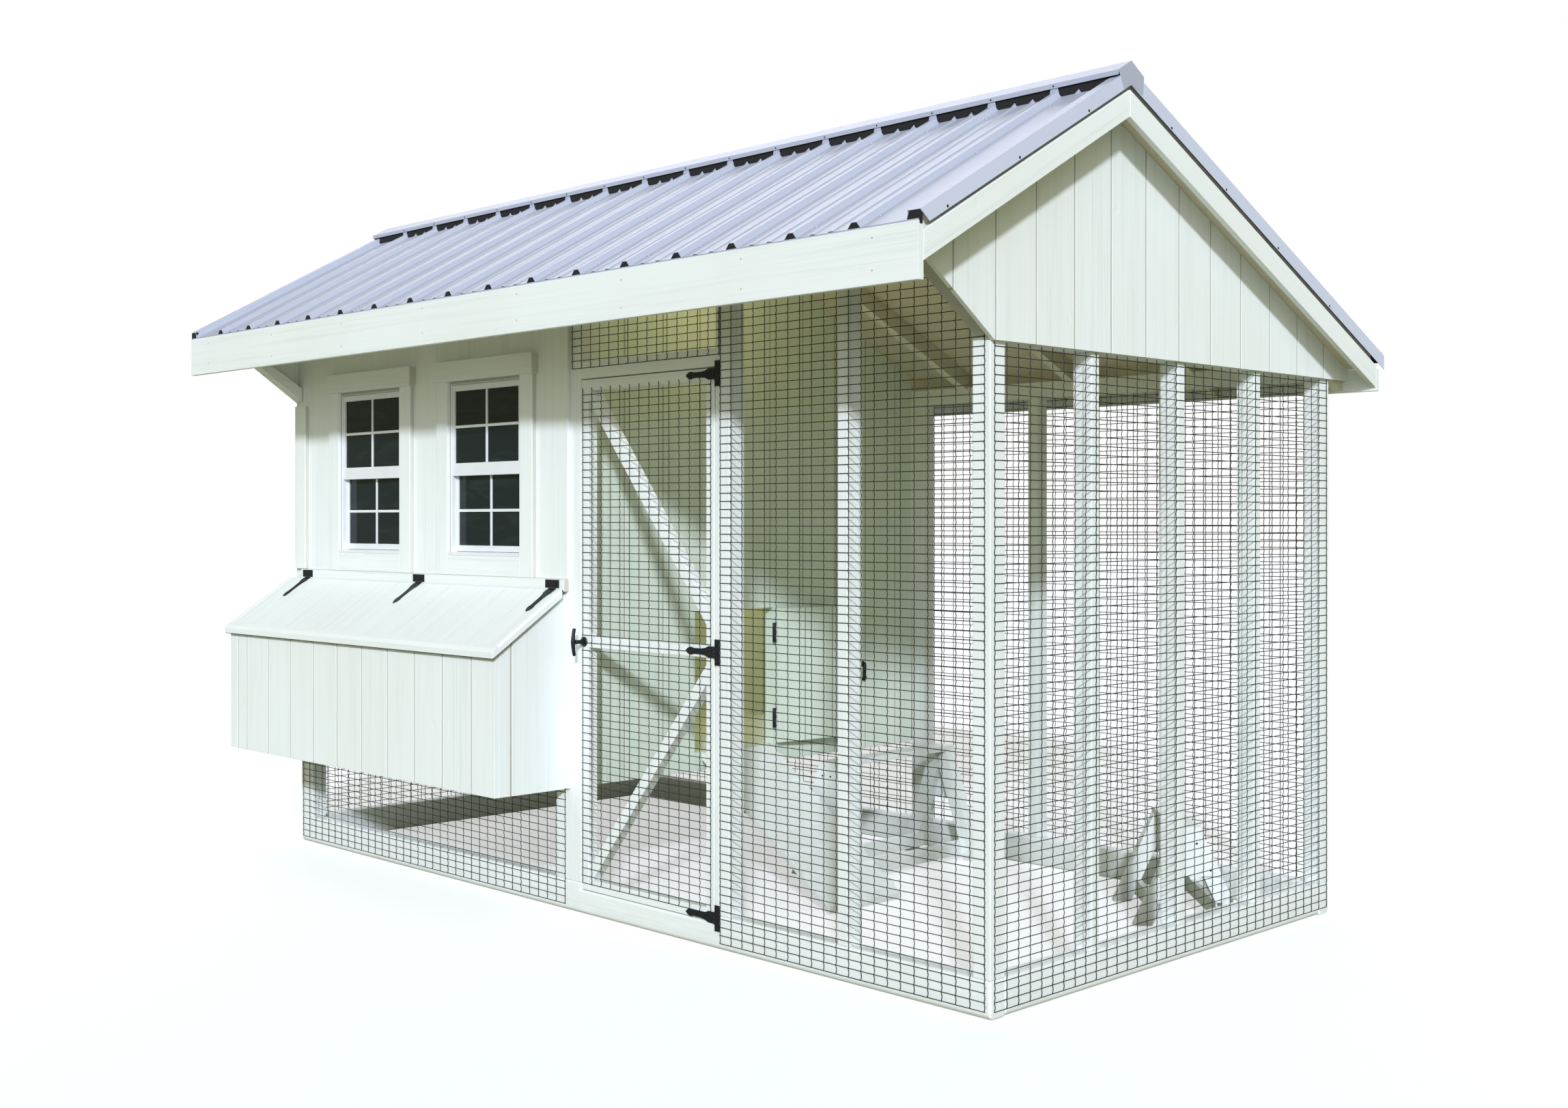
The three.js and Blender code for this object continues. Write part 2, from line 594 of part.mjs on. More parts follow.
// Pop door, standing open beside its opening.
function popDoor() {
  const { front, back, bottom, top } = POP_OPENING;
  const clearance = 0.12;
  const leaf = block(0.25, 0.85, clearance, back - front - clearance, bottom + clearance, top - clearance);
  const mesh = add("pop_door", leaf, paint);
  mesh.rotation.z = THREE.MathUtils.degToRad(POP_OPEN_DEGREES - 180);
  mesh.position.set(POP_PIN[0], POP_PIN[1], 0);
}

function ramp() {
  const top = [72.9, 19.1];
  const foot = [98.4, 1.1];
  const thickness = 0.75;
  const slope = (top[1] - foot[1]) / (foot[0] - top[0]);
  const surface = (x) => top[1] - slope * (x - top[0]);
  const plumb = thickness * Math.hypot(1, slope);
  const side = [RAMP_CENTRE - RAMP_WIDTH / 2, RAMP_CENTRE + RAMP_WIDTH / 2];
  const board = [
    [top[0], surface(top[0]) - plumb],
    [foot[0], surface(foot[0]) - plumb],
    [foot[0], surface(foot[0])],
    [top[0], surface(top[0])],
  ];
  const pieces = [frontProfile(board, ...side)];
  const cleatPitch = 3.6;
  for (let x = top[0] + 2; x < foot[0] - 1; x += cleatPitch) {
    const cleat = [
      [x, surface(x) - 0.1],
      [x + 0.9, surface(x + 0.9) - 0.1],
      [x + 0.9, surface(x + 0.9) + 0.4],
      [x, surface(x) + 0.4],
    ];
    pieces.push(frontProfile(cleat, ...side));
  }
  add("ramp", joined(pieces), rampBoard);
}

// An A-frame roost: two gusseted leg pairs, two foot rails and a perch board on top.
// The foot width is measured across the outside of the feet.
function roost(name, { length, height, footWidth }, centre, turn) {
  const foot = footWidth / 2;
  const crown = 1.6;
  const leg = 2.4;
  const stock = 1.4;
  const plate = 0.5;
  const gussetFoot = height * 0.54;
  const outside = (z) => foot + ((crown - foot) * z) / height;
  const legOutline = (side) => [
    [side * (foot - leg), 0],
    [side * foot, 0],
    [side * crown, height],
    [side * (crown - leg), height],
  ];
  const gusset = [
    [-outside(gussetFoot), gussetFoot],
    [outside(gussetFoot), gussetFoot],
    [crown, height],
    [-crown, height],
  ];
  const end = (x, face) => [
    sideProfile(legOutline(-1), x, x + stock),
    sideProfile(legOutline(1), x, x + stock),
    sideProfile(gusset, face, face + plate),
  ];
  const railHeight = 2.2;
  const railLift = 0.9;
  const railSpot = outside(railLift + railHeight) - leg + 0.4;
  const reach = length / 2 - plate;
  const rail = (y) => block(-reach, reach, y - 0.4, y + 0.4, railLift, railLift + railHeight);
  const pieces = [
    ...end(-reach - 0.1, -length / 2),
    ...end(reach - stock + 0.1, reach),
    block(-length / 2, length / 2, -crown, crown, height - 0.1, height + 0.8),
    rail(-railSpot),
    rail(railSpot),
  ];
  const mesh = add(name, joined(pieces), rampBoard);
  mesh.position.set(centre[0], centre[1], 0);
  mesh.rotation.z = THREE.MathUtils.degToRad(turn);
}

groundFrame();
wallFrame();
roof();
walls();
nestBox();
windows();
door();
wirePanels();
popDoor();
ramp();
roost("roost_back", { length: 28, height: 16.6, footWidth: 15 }, [82.5, 52.3], 92);
roost("roost_front", { length: 16.8, height: 12.1, footWidth: 14.4 }, [129.7, 57.4], 135);

coop.updateMatrixWorld(true);
const bounds = new THREE.Box3().setFromObject(coop);
const middle = bounds.getCenter(new THREE.Vector3());
const part = new THREE.Group();
coop.position.set(-middle.x, -middle.y, -bounds.min.z);
part.add(coop);
part.scale.setScalar(MM_PER_INCH);

export default part;
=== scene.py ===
"""Looks for a walk-in chicken coop: painted timber, grooved siding, welded wire and a ribbed metal roof.

Places are in inches in the coop's own axes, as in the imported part: X along the front from the
house corner, Y from the front wall to the back, Z up. place() turns them into metres.
"""
import math
import random

import bmesh
import bpy
from mathutils import Matrix, Vector


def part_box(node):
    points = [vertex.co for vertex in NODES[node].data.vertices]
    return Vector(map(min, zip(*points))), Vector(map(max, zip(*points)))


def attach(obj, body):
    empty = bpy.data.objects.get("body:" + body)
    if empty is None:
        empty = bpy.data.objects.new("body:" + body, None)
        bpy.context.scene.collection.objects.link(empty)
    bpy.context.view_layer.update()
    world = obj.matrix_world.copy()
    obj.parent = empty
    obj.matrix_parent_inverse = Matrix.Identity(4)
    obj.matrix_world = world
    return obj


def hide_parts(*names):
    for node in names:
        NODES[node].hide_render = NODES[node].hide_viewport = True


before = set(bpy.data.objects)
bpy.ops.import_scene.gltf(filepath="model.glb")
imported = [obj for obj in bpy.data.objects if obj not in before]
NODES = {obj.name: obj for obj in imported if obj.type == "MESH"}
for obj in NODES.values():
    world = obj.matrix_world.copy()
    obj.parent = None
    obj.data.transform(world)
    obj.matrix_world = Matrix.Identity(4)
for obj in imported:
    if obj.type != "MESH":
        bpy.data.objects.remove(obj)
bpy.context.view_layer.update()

INCH = 0.0254
HALF_GAP = 0.00015 / INCH        # each CAD solid stands back by this much on every side

sill_low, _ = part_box("sill_front")
ORIGIN = Vector((sill_low[0], sill_low[1], 0.0)) / INCH - Vector((HALF_GAP, HALF_GAP, 0.0))


def place(x, y, z):
    """A point in the coop's inches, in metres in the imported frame."""
    return (Vector((x, y, z)) + ORIGIN) * INCH


def limits(node):
    """The lowest and highest corner of a CAD node, in the coop's inches."""
    low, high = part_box(node)
    return Vector(low) / INCH - ORIGIN, Vector(high) / INCH - ORIGIN


# ---- camera, light and floor

def camera_and_light():
    camera_data = bpy.data.cameras.new("camera")
    camera_data.lens = 39.48
    camera_data.sensor_width = 36.0
    camera_data.shift_y = -0.0209
    camera_data.clip_end = 200
    camera = bpy.data.objects.new("camera", camera_data)
    camera.location = place(257.33, -141.47, 52.43)
    camera.rotation_euler = (math.radians(90), 0, math.radians(45.536))
    bpy.context.collection.objects.link(camera)
    bpy.context.scene.camera = camera

    add_sun("sun", 2.93, 4.2, 24, 45, (0.87, 0.915, 1.0))
    add_sun("soft_front", 1.15, 55, 16, 40, (0.87, 0.915, 1.0))
    add_sun("soft_back", 1.8, 50, 14, 225, (0.84, 0.85, 1.0))
    add_lamp("house_light", 7, place(40, 40, 60), (1.0, 0.95, 0.42))
    add_lamp("ceiling_light", 2.0, place(84, 22, 86), (1.0, 0.85, 0.4))

    world = bpy.data.worlds.new("world")
    bpy.context.scene.world = world
    world.use_nodes = True
    nodes, links = world.node_tree.nodes, world.node_tree.links
    sky = nodes["Background"]
    sky.inputs["Color"].default_value = (1.0, 1.0, 0.6, 1)
    sky.inputs["Strength"].default_value = 0.27
    backdrop = nodes.new("ShaderNodeBackground")
    backdrop.inputs["Color"].default_value = (1, 1, 1, 1)
    seen_first(nodes, links, sky, backdrop, nodes["World Output"].inputs["Surface"])
    bpy.context.scene.view_settings.view_transform = "Standard"


def add_light(name, kind, power, color):
    data = bpy.data.lights.new(name, kind)
    data.energy = power
    data.color = color
    obj = bpy.data.objects.new(name, data)
    bpy.context.collection.objects.link(obj)
    return obj


def add_sun(name, strength, width, elevation, azimuth, color):
    """A distant light of an angular width, from an elevation and an azimuth in degrees."""
    sun = add_light(name, "SUN", strength, color)
    sun.data.angle = math.radians(width)
    sun.rotation_euler = (math.radians(90 - elevation), 0, math.radians(azimuth))


def add_lamp(name, power, spot, color):
    lamp = add_light(name, "POINT", power, color)
    lamp.data.shadow_soft_size = 0.25
    lamp.location = spot


def seen_first(nodes, links, lighting, shown, surface):
    """Uses one shader for light that reaches the coop and another for what shows behind it."""
    choice = nodes.new("ShaderNodeMixShader")
    path = nodes.new("ShaderNodeLightPath")
    links.new(path.outputs["Is Camera Ray"], choice.inputs[0])
    links.new(lighting.outputs[0], choice.inputs[1])
    links.new(shown.outputs[0], choice.inputs[2])
    links.new(choice.outputs[0], surface)


def floor():
    mesh = bpy.data.meshes.new("floor")
    reach = 60.0
    mesh.from_pydata([(-reach, -reach, 0), (reach, -reach, 0), (reach, reach, 0), (-reach, reach, 0)],
                     [], [(0, 1, 2, 3)])
    obj = bpy.data.objects.new("floor", mesh)
    bpy.context.collection.objects.link(obj)
    mat = bpy.data.materials.new("floor")
    mat.use_nodes = True
    nodes, links = mat.node_tree.nodes, mat.node_tree.links
    bounce = nodes["Principled BSDF"]
    bounce.inputs["Base Color"].default_value = (0.36, 0.35, 0.2, 1)
    bounce.inputs["Roughness"].default_value = 1.0
    bounce.inputs["Specular IOR Level"].default_value = 0.0
    pale = nodes.new("ShaderNodeBsdfDiffuse")
    pale.inputs["Color"].default_value = (0.62, 0.65, 0.72, 1)
    glow = nodes.new("ShaderNodeEmission")
    glow.inputs["Color"].default_value = (1, 1, 1, 1)
    glow.inputs["Strength"].default_value = 0.52
    both = nodes.new("ShaderNodeAddShader")
    links.new(pale.outputs[0], both.inputs[0])
    links.new(glow.outputs[0], both.inputs[1])
    seen_first(nodes, links, bounce, both, nodes["Material Output"].inputs["Surface"])
    obj.data.materials.append(mat)


# ---- materials

class Recipe:
    """A node material being put together."""

    def __init__(self, name, color, roughness, metallic=0.0):
        self.material = bpy.data.materials.new(name)
        self.material.use_nodes = True
        self.tree = self.material.node_tree
        self.shader = self.tree.nodes["Principled BSDF"]
        self.shader.inputs["Base Color"].default_value = (*color, 1)
        self.shader.inputs["Roughness"].default_value = roughness
        self.shader.inputs["Metallic"].default_value = metallic
        self.coords = self.node("ShaderNodeTexCoord").outputs["Object"]

    def node(self, kind, **settings):
        made = self.tree.nodes.new(kind)
        for key, value in settings.items():
            setattr(made, key, value)
        return made

    def link(self, output, target):
        self.tree.links.new(output, target)

    def feed(self, name, output):
        self.link(output, self.shader.inputs[name])

    def noise(self, scale, detail=4.0, roughness=0.55, distortion=0.0, turn=(0, 0, 0)):
        """Noise whose scale differs by axis, in cycles per metre, with those axes turned by angles."""
        mapping = self.node("ShaderNodeMapping", vector_type="TEXTURE")
        mapping.inputs["Scale"].default_value = [1 / each for each in scale]
        mapping.inputs["Rotation"].default_value = turn
        self.link(self.coords, mapping.inputs["Vector"])
        texture = self.node("ShaderNodeTexNoise")
        texture.inputs["Scale"].default_value = 1.0
        texture.inputs["Detail"].default_value = detail
        texture.inputs["Roughness"].default_value = roughness
        texture.inputs["Distortion"].default_value = distortion
        self.link(mapping.outputs["Vector"], texture.inputs["Vector"])
        return texture.outputs["Fac"]

    def spread(self, value, low, high, out_low=0.0, out_high=1.0):
        """value from low..high, spread over out_low..out_high."""
        ranged = self.node("ShaderNodeMapRange")
        for key, number in (("From Min", low), ("From Max", high), ("To Min", out_low), ("To Max", out_high)):
            ranged.inputs[key].default_value = number
        self.link(value, ranged.inputs["Value"])
        return ranged.outputs["Result"]

    def mix(self, factor, first, second):
        """Two colours by a factor. Either may be a colour or a socket."""
        mixed = self.node("ShaderNodeMix", data_type="RGBA")
        self.link(factor, mixed.inputs[0])
        for socket, color in ((mixed.inputs[6], first), (mixed.inputs[7], second)):
            if isinstance(color, tuple):
                socket.default_value = (*color, 1)
            else:
                self.link(color, socket)
        return mixed.outputs[2]

    def combine(self, operation, first, second):
        done = self.node("ShaderNodeMath", operation=operation)
        for socket, value in zip(done.inputs, (first, second)):
            if isinstance(value, (int, float)):
                socket.default_value = value
            else:
                self.link(value, socket)
        return done.outputs[0]

    def bump(self, height, distance, strength=1.0):
        """Adds relief in metres on top of any that is already there."""
        made = self.node("ShaderNodeBump")
        made.inputs["Distance"].default_value = distance
        made.inputs["Strength"].default_value = strength
        self.link(height, made.inputs["Height"])
        normal = self.shader.inputs["Normal"]
        if normal.is_linked:
            self.link(normal.links[0].from_socket, made.inputs["Normal"])
        self.link(made.outputs["Normal"], normal)

    def height(self):
        split = self.node("ShaderNodeSeparateXYZ")
        self.link(self.coords, split.inputs[0])
        return split.outputs["Z"]


def along(axis, length_scale, cross_scale):
    """A noise scale that is long along one axis."""
    scale = [cross_scale] * 3
    scale[axis] = length_scale
    return scale


def painted_wood(name, axis, light=(0.85, 0.9, 0.925), dark=(0.73, 0.79, 0.8), grain=1.0, turn=(0, 0, 0)):
    """Satin paint over sawn timber whose grain runs along an axis, turned by angles."""
    r = Recipe(name, light, 0.5)
    fibres = r.noise(along(axis, 1.8, 120.0), detail=5.0, roughness=0.62, distortion=0.4, turn=turn)
    bands = r.noise(along(axis, 0.7, 34.0), detail=3.0, turn=turn)
    cloud = r.noise((1.7, 1.7, 1.7), detail=3.0)
    streak = r.combine("MULTIPLY", r.spread(fibres, 0.44, 0.7), r.spread(bands, 0.38, 0.64))
    tone = r.mix(r.spread(streak, 0.0, 1.0, 0.0, 1.0), light, dark)
    weathered = r.mix(r.spread(cloud, 0.35, 0.75, 0.0, 0.3), tone, (0.77, 0.79, 0.74))
    # Darker towards the bottom, fading out about 6 cm above the ground along a ragged line.
    bottom_edge = r.combine("ADD", r.height(), r.spread(r.noise((9, 9, 30)), 0.3, 0.7, -0.03, 0.03))
    bottom_darkening = r.spread(bottom_edge, 0.0, 0.06, 0.16, 0.0)
    r.feed("Base Color", r.mix(bottom_darkening, weathered, (0.5, 0.51, 0.48)))
    r.feed("Roughness", r.spread(fibres, 0.3, 0.7, 0.42, 0.62))
    r.bump(r.combine("MULTIPLY", fibres, r.spread(bands, 0.3, 0.7, 0.35, 1.0)), 0.0007 * grain, 0.6)
    dents = r.spread(r.noise((15, 15, 15), detail=1.0), 0.73, 0.8, 0.0, -1.0)
    r.bump(dents, 0.0012, 0.5)
    return r.material


def sheet_metal(name, shade=1.0):
    """Pale coated steel sheet, with slight waves and rain marks."""
    light, streaked, faded = (tuple(shade * each for each in color) for color in
                              ((0.57, 0.61, 0.785), (0.51, 0.55, 0.72), (0.615, 0.65, 0.79)))
    r = Recipe(name, light, 0.38, 0.15)
    streaks = r.noise((38, 1.6, 1.6), detail=4.0)
    cloud = r.noise((1.3, 1.3, 1.3), detail=2.0)
    tone = r.mix(r.spread(streaks, 0.45, 0.8, 0.0, 0.45), light, streaked)
    r.feed("Base Color", r.mix(r.spread(cloud, 0.4, 0.75, 0.0, 0.35), tone, faded))
    r.feed("Roughness", r.spread(r.noise((300, 300, 300), detail=2.0), 0.3, 0.7, 0.3, 0.46))
    r.bump(r.noise((5, 2.2, 2.2), detail=1.0), 0.003, 0.35)
    return r.material


def wire_coat(name):
    r = Recipe(name, (0.016, 0.019, 0.019), 0.6)
    spots = r.spread(r.noise((260, 260, 260), detail=3.0), 0.52, 0.7)
    r.feed("Base Color", r.mix(spots, (0.013, 0.016, 0.016), (0.04, 0.04, 0.036)))
    r.bump(r.noise((900, 900, 900), detail=2.0), 0.0002, 0.5)
    return r.material


def black_iron(name):
    r = Recipe(name, (0.012, 0.014, 0.022), 0.42, 0.3)
    mottle = r.noise((120, 120, 120), detail=4.0)
    r.feed("Base Color", r.mix(r.spread(mottle, 0.55, 0.75), (0.010, 0.012, 0.02), (0.04, 0.042, 0.052)))
    r.feed("Roughness", r.spread(mottle, 0.3, 0.7, 0.34, 0.55))
    r.bump(r.noise((700, 700, 700), detail=3.0), 0.0002, 0.6)
    return r.material


def pane(name):
    """Dark window glass with faint wipe marks; the glass is opaque, and its dark colour is painted shade of
    the unlit room behind it.
    """
    r = Recipe(name, (0.014, 0.022, 0.024), 0.06)
    r.shader.inputs["Specular IOR Level"].default_value = 0.2
    marks = r.noise((3, 3, 14), detail=3.0, distortion=1.2)
    r.feed("Base Color", r.mix(r.spread(marks, 0.5, 0.8), (0.013, 0.021, 0.023), (0.024, 0.034, 0.035)))
    r.feed("Roughness", r.spread(marks, 0.45, 0.8, 0.05, 0.16))
    return r.material


def vinyl(name):
    r = Recipe(name, (0.8, 0.83, 0.88), 0.32)
    cloud = r.noise((12, 12, 12), detail=2.0)
    r.feed("Base Color", r.mix(r.spread(cloud, 0.4, 0.7, 0.0, 0.5), (0.8, 0.83, 0.88), (0.74, 0.77, 0.82)))
    r.bump(r.noise((500, 500, 500), detail=2.0), 0.0001, 0.4)
    return r.material


# Near black: painted shadow for the voids under the ribs at the eaves and ridge, the gap behind the nest lid
# and the shade under its edges.
def shadow_black_coat(name):
    r = Recipe(name, (0.01, 0.01, 0.012), 0.9)
    r.bump(r.noise((400, 400, 400), detail=2.0), 0.0008, 0.8)
    return r.material


PAINT = {axis: painted_wood(f"white_paint_{'xyz'[axis]}", axis) for axis in range(3)}
# Painted shade: an olive-tan copy of the white paint for the roof deck and ridge board, for the shade under
# the roof.
SHADE_LIGHT, SHADE_DARK = (0.8, 0.73, 0.6), (0.68, 0.62, 0.5)
SHADE_WOOD = painted_wood("underside_painted_shade", 0, SHADE_LIGHT, SHADE_DARK, 1.4)
# Painted shade, dark grey: the shadow in grooves and board gaps, the shaded strips round the window units and
# the cleat under the right wing. It is also the colour of the filled nail heads.
SHADE_AND_FILLER = painted_wood("painted_shade_and_filler", 2, (0.4, 0.39, 0.36), (0.31, 0.3, 0.28))
# Painted shade, mid grey: the shaded side faces of the casings and corner board, and shadow lines along the
# ledger.
TRIM_SHADE = painted_wood("trim_painted_shade", 2, (0.58, 0.58, 0.53), (0.5, 0.5, 0.45))
# Painted shade: a darker, greener copy of the white paint for the partition and pop door, for the dimmer
# light behind the wire.
PARTITION_SHADE = painted_wood("partition_painted_shade", 2, (0.75, 0.86, 0.78), (0.64, 0.75, 0.67))
METAL = sheet_metal("roof_sheet", 0.84)
# Painted light: a brighter copy of the roof sheet for its end faces, the rake flashings.
FLASHING_LIT = sheet_metal("rake_flashing_painted_light", 1.19)
WIRE = wire_coat("wire_coat")
IRON = black_iron("black_iron")
GLASS = pane("window_pane")
VINYL = vinyl("window_vinyl")
# Painted shadow: black solids where there is only shade.
SHADOW_BLACK = shadow_black_coat("shadow_black_coat")


# ---- making pieces

class Piece:
    """A mesh in the coop's inches. Each part of it says which of the piece's materials it takes."""

    def __init__(self):
        self.mesh = bmesh.new()

    def hull_of_rings(self, rings, material=0, smooth=False):
        """A closed skin through rings of points, flat over its first and last ring."""
        rows = [[self.mesh.verts.new(point) for point in ring] for ring in rings]
        count = len(rows[0])
        for row, following in zip(rows, rows[1:]):
            for i in range(count):
                j = (i + 1) % count
                face = self.mesh.faces.new((row[i], row[j], following[j], following[i]))
                face.smooth = smooth
                face.material_index = material
        for row in (rows[0][::-1], rows[-1]):
            self.mesh.faces.new(row).material_index = material

    def prism(self, outline, start, end, axis, material=0):
        """An outline in the two other axes, in the order X, Y, Z, swept along one axis."""
        rings = []
        for level in (start, end):
            ring = [list(point) for point in outline]
            for point in ring:
                point.insert(axis, level)
            rings.append(ring)
        self.hull_of_rings(rings, material)

    def block(self, x0, x1, y0, y1, z0, z1, material=0):
        self.prism([(x0, y0), (x1, y0), (x1, y1), (x0, y1)], z0, z1, 2, material)

    def tube(self, points, radius, sides=6, material=0, across=None):
        """A round bar through points. radius is a number, or one for each point."""
        points = [Vector(point) for point in points]
        radii = [radius] * len(points) if isinstance(radius, (int, float)) else radius
        rings = []
        for i, point in enumerate(points):
            before, after = points[max(i - 1, 0)], points[min(i + 1, len(points) - 1)]
            forward = (after - before).normalized()
            hint = across or (Vector((0, 0, 1)) if abs(forward.z) < 0.9 else Vector((1, 0, 0)))
            side = forward.cross(hint).normalized()
            other = forward.cross(side)
            turns = [2 * math.pi * k / sides for k in range(sides)]
            rings.append([point + (side * math.cos(t) + other * math.sin(t)) * radii[i] for t in turns])
        self.hull_of_rings(rings, material, smooth=True)

    def screw(self, centre, direction, radius=0.16, washer=0.0, material=0):
        """A domed screw head, on a washer if its radius is given."""
        centre, direction = Vector(centre), Vector(direction).normalized()
        if washer:
            self.tube([centre, centre + direction * 0.05], washer, 10, material)
            centre = centre + direction * 0.05
        steps = [(0.0, 1.0), (0.5, 0.92), (0.8, 0.6), (0.9, 0.3)]
        self.tube([centre + direction * radius * 0.7 * lift for lift, _ in steps],
                  [radius * width for _, width in steps], 8, material)

    def finish(self, name, materials, replaces=(), body="coop", slot="white_paint", bevel=0.05, turn=None):
        """Makes the object. turn is (degrees, x, y): a turn about a plumb line, then a move."""
        if turn:
            degrees, x, y = turn
            spin = Matrix.Rotation(math.radians(degrees), 4, "Z")
            self.mesh.transform(Matrix.Translation((x, y, 0)) @ spin)
        bmesh.ops.recalc_face_normals(self.mesh, faces=self.mesh.faces)
        self.mesh.transform(Matrix.Translation(ORIGIN * INCH) @ Matrix.Scale(INCH, 4))
        data = bpy.data.meshes.new(name)
        self.mesh.to_mesh(data)
        self.mesh.free()
        obj = bpy.data.objects.new(name, data)
        bpy.context.collection.objects.link(obj)
        for material in materials:
            data.materials.append(material)
        if bevel:
            round_edges(obj, bevel)
        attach(obj, body)
        if replaces:
            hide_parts(*replaces)
        return obj


def round_edges(obj, width, segments=2):
    """Eases the edges, then joins the points that a narrow part's clamped bevel left in one place."""
    bevel = obj.modifiers.new("edges", "BEVEL")
    bevel.width = width * INCH
    bevel.segments = segments
    bevel.limit_method = "ANGLE"
    bevel.angle_limit = math.radians(32)
    weld = obj.modifiers.new("joined", "WELD")
    weld.merge_threshold = 0.00001


def clip(outline, axis, low, high):
    """The part of an outline between two levels of its first or second coordinate."""
    for limit, sign in ((low, 1), (high, -1)):
        kept = []
        for i, point in enumerate(outline):
            before = outline[i - 1]
            depth, depth_before = sign * (point[axis] - limit), sign * (before[axis] - limit)
            if (depth >= 0) != (depth_before >= 0):
                share = depth_before / (depth_before - depth)
                kept.append(tuple(before[k] + share * (point[k] - before[k]) for k in range(2)))
            if depth >= 0:
                kept.append(tuple(point))
        outline = kept
        if not outline:
            return []
    return [p for i, p in enumerate(outline) if (Vector(p) - Vector(outline[i - 1])).length > 1e-4]


def slice_under(line, start, end, under, over=0.0):
    """The outline between two places, from under to over inches below a line that gives its height."""
    return [(start, line(start) - under), (end, line(end) - under),
            (end, line(end) - over), (start, line(start) - over)]


FAR = 1000.0


def grooved(piece, outline, grooves, back, face, axis, opening=None):
    """Boards of siding with a shallow groove between each two. opening is (low, high, bottom, top).

    The boards take the piece's first material and the grooves its second, a dark painted shade for the shadow
    in each groove.
    """
    half_gap = 0.13
    groove_floor = face + math.copysign(0.05, back - face)
    low = min(a for a, _ in outline)
    high = max(a for a, _ in outline)
    fields = [(low, high, -FAR, FAR)]
    if opening:
        a0, a1, b0, b1 = opening
        fields = [(low, a0, -FAR, FAR), (a0, a1, -FAR, b0), (a0, a1, b1, FAR), (a1, high, -FAR, FAR)]
    for start, end, bottom, top in fields:
        field = clip(clip(outline, 0, start, end), 1, bottom, top)
        if len(field) < 3:
            continue
        edges = [start] + [g for g in grooves if start + 0.3 < g < end - 0.3] + [end]
        for left, right in zip(edges, edges[1:]):
            board_left = left + (half_gap if left > start else 0)
            board_right = right - (half_gap if right < end else 0)
            board = clip(field, 0, board_left, board_right)
            if len(board) > 2:
                piece.prism(board, min(back, face), max(back, face), axis, 0)
            slot = clip(field, 0, right - half_gap, right + half_gap)
            if right < end and len(slot) > 2:
                piece.prism(slot, min(back, groove_floor), max(back, groove_floor), axis, 1)


# ---- roof

LENGTH, DEPTH = 144, 72
RIDGE_Y, RIDGE_Z = 18.65, 100.08
FRONT_SLOPE, BACK_SLOPE = 0.564, 0.4667
FRONT_TURN, BACK_TURN = (math.atan(FRONT_SLOPE), 0, 0), (-math.atan(BACK_SLOPE), 0, 0)
EAVE_FRONT, EAVE_BACK = -16.8, 76.82
OVERHANG = 4.71
BOARD = 0.75
RIBS = [5.1 + 9 * rib for rib in range(16)]


def roof_line(y):
    return RIDGE_Z - (FRONT_SLOPE * (RIDGE_Y - y) if y < RIDGE_Y else BACK_SLOPE * (y - RIDGE_Y))


def rib_section():
    """The roof sheet's section: (x, height over the roof line) from the left flange to the right one."""
    pan, crown, foot, top = 1.36, 0.35, 0.9, 0.65
    flange_top, flange_foot, fold, ramp_end = pan + 0.9, pan - 0.9, 1.4, 1.75
    left, right = -OVERHANG - 0.1, LENGTH + OVERHANG + 0.1
    section = [(left, flange_foot), (left, flange_top), (left + fold, flange_top), (left + ramp_end, pan)]
    for number, rib in enumerate(RIBS):
        section += [(rib - foot, pan), (rib - crown, pan + top), (rib + crown, pan + top), (rib + foot, pan)]
        if number < len(RIBS) - 1:
            for pencil in (rib + 3.2, rib + 5.8):
                section += [(pencil - 0.5, pan), (pencil - 0.22, pan + 0.12)]
                section += [(pencil + 0.22, pan + 0.12), (pencil + 0.5, pan)]
    return section + [(right - ramp_end, pan), (right - fold, flange_top), (right, flange_top),
                      (right, flange_foot)]


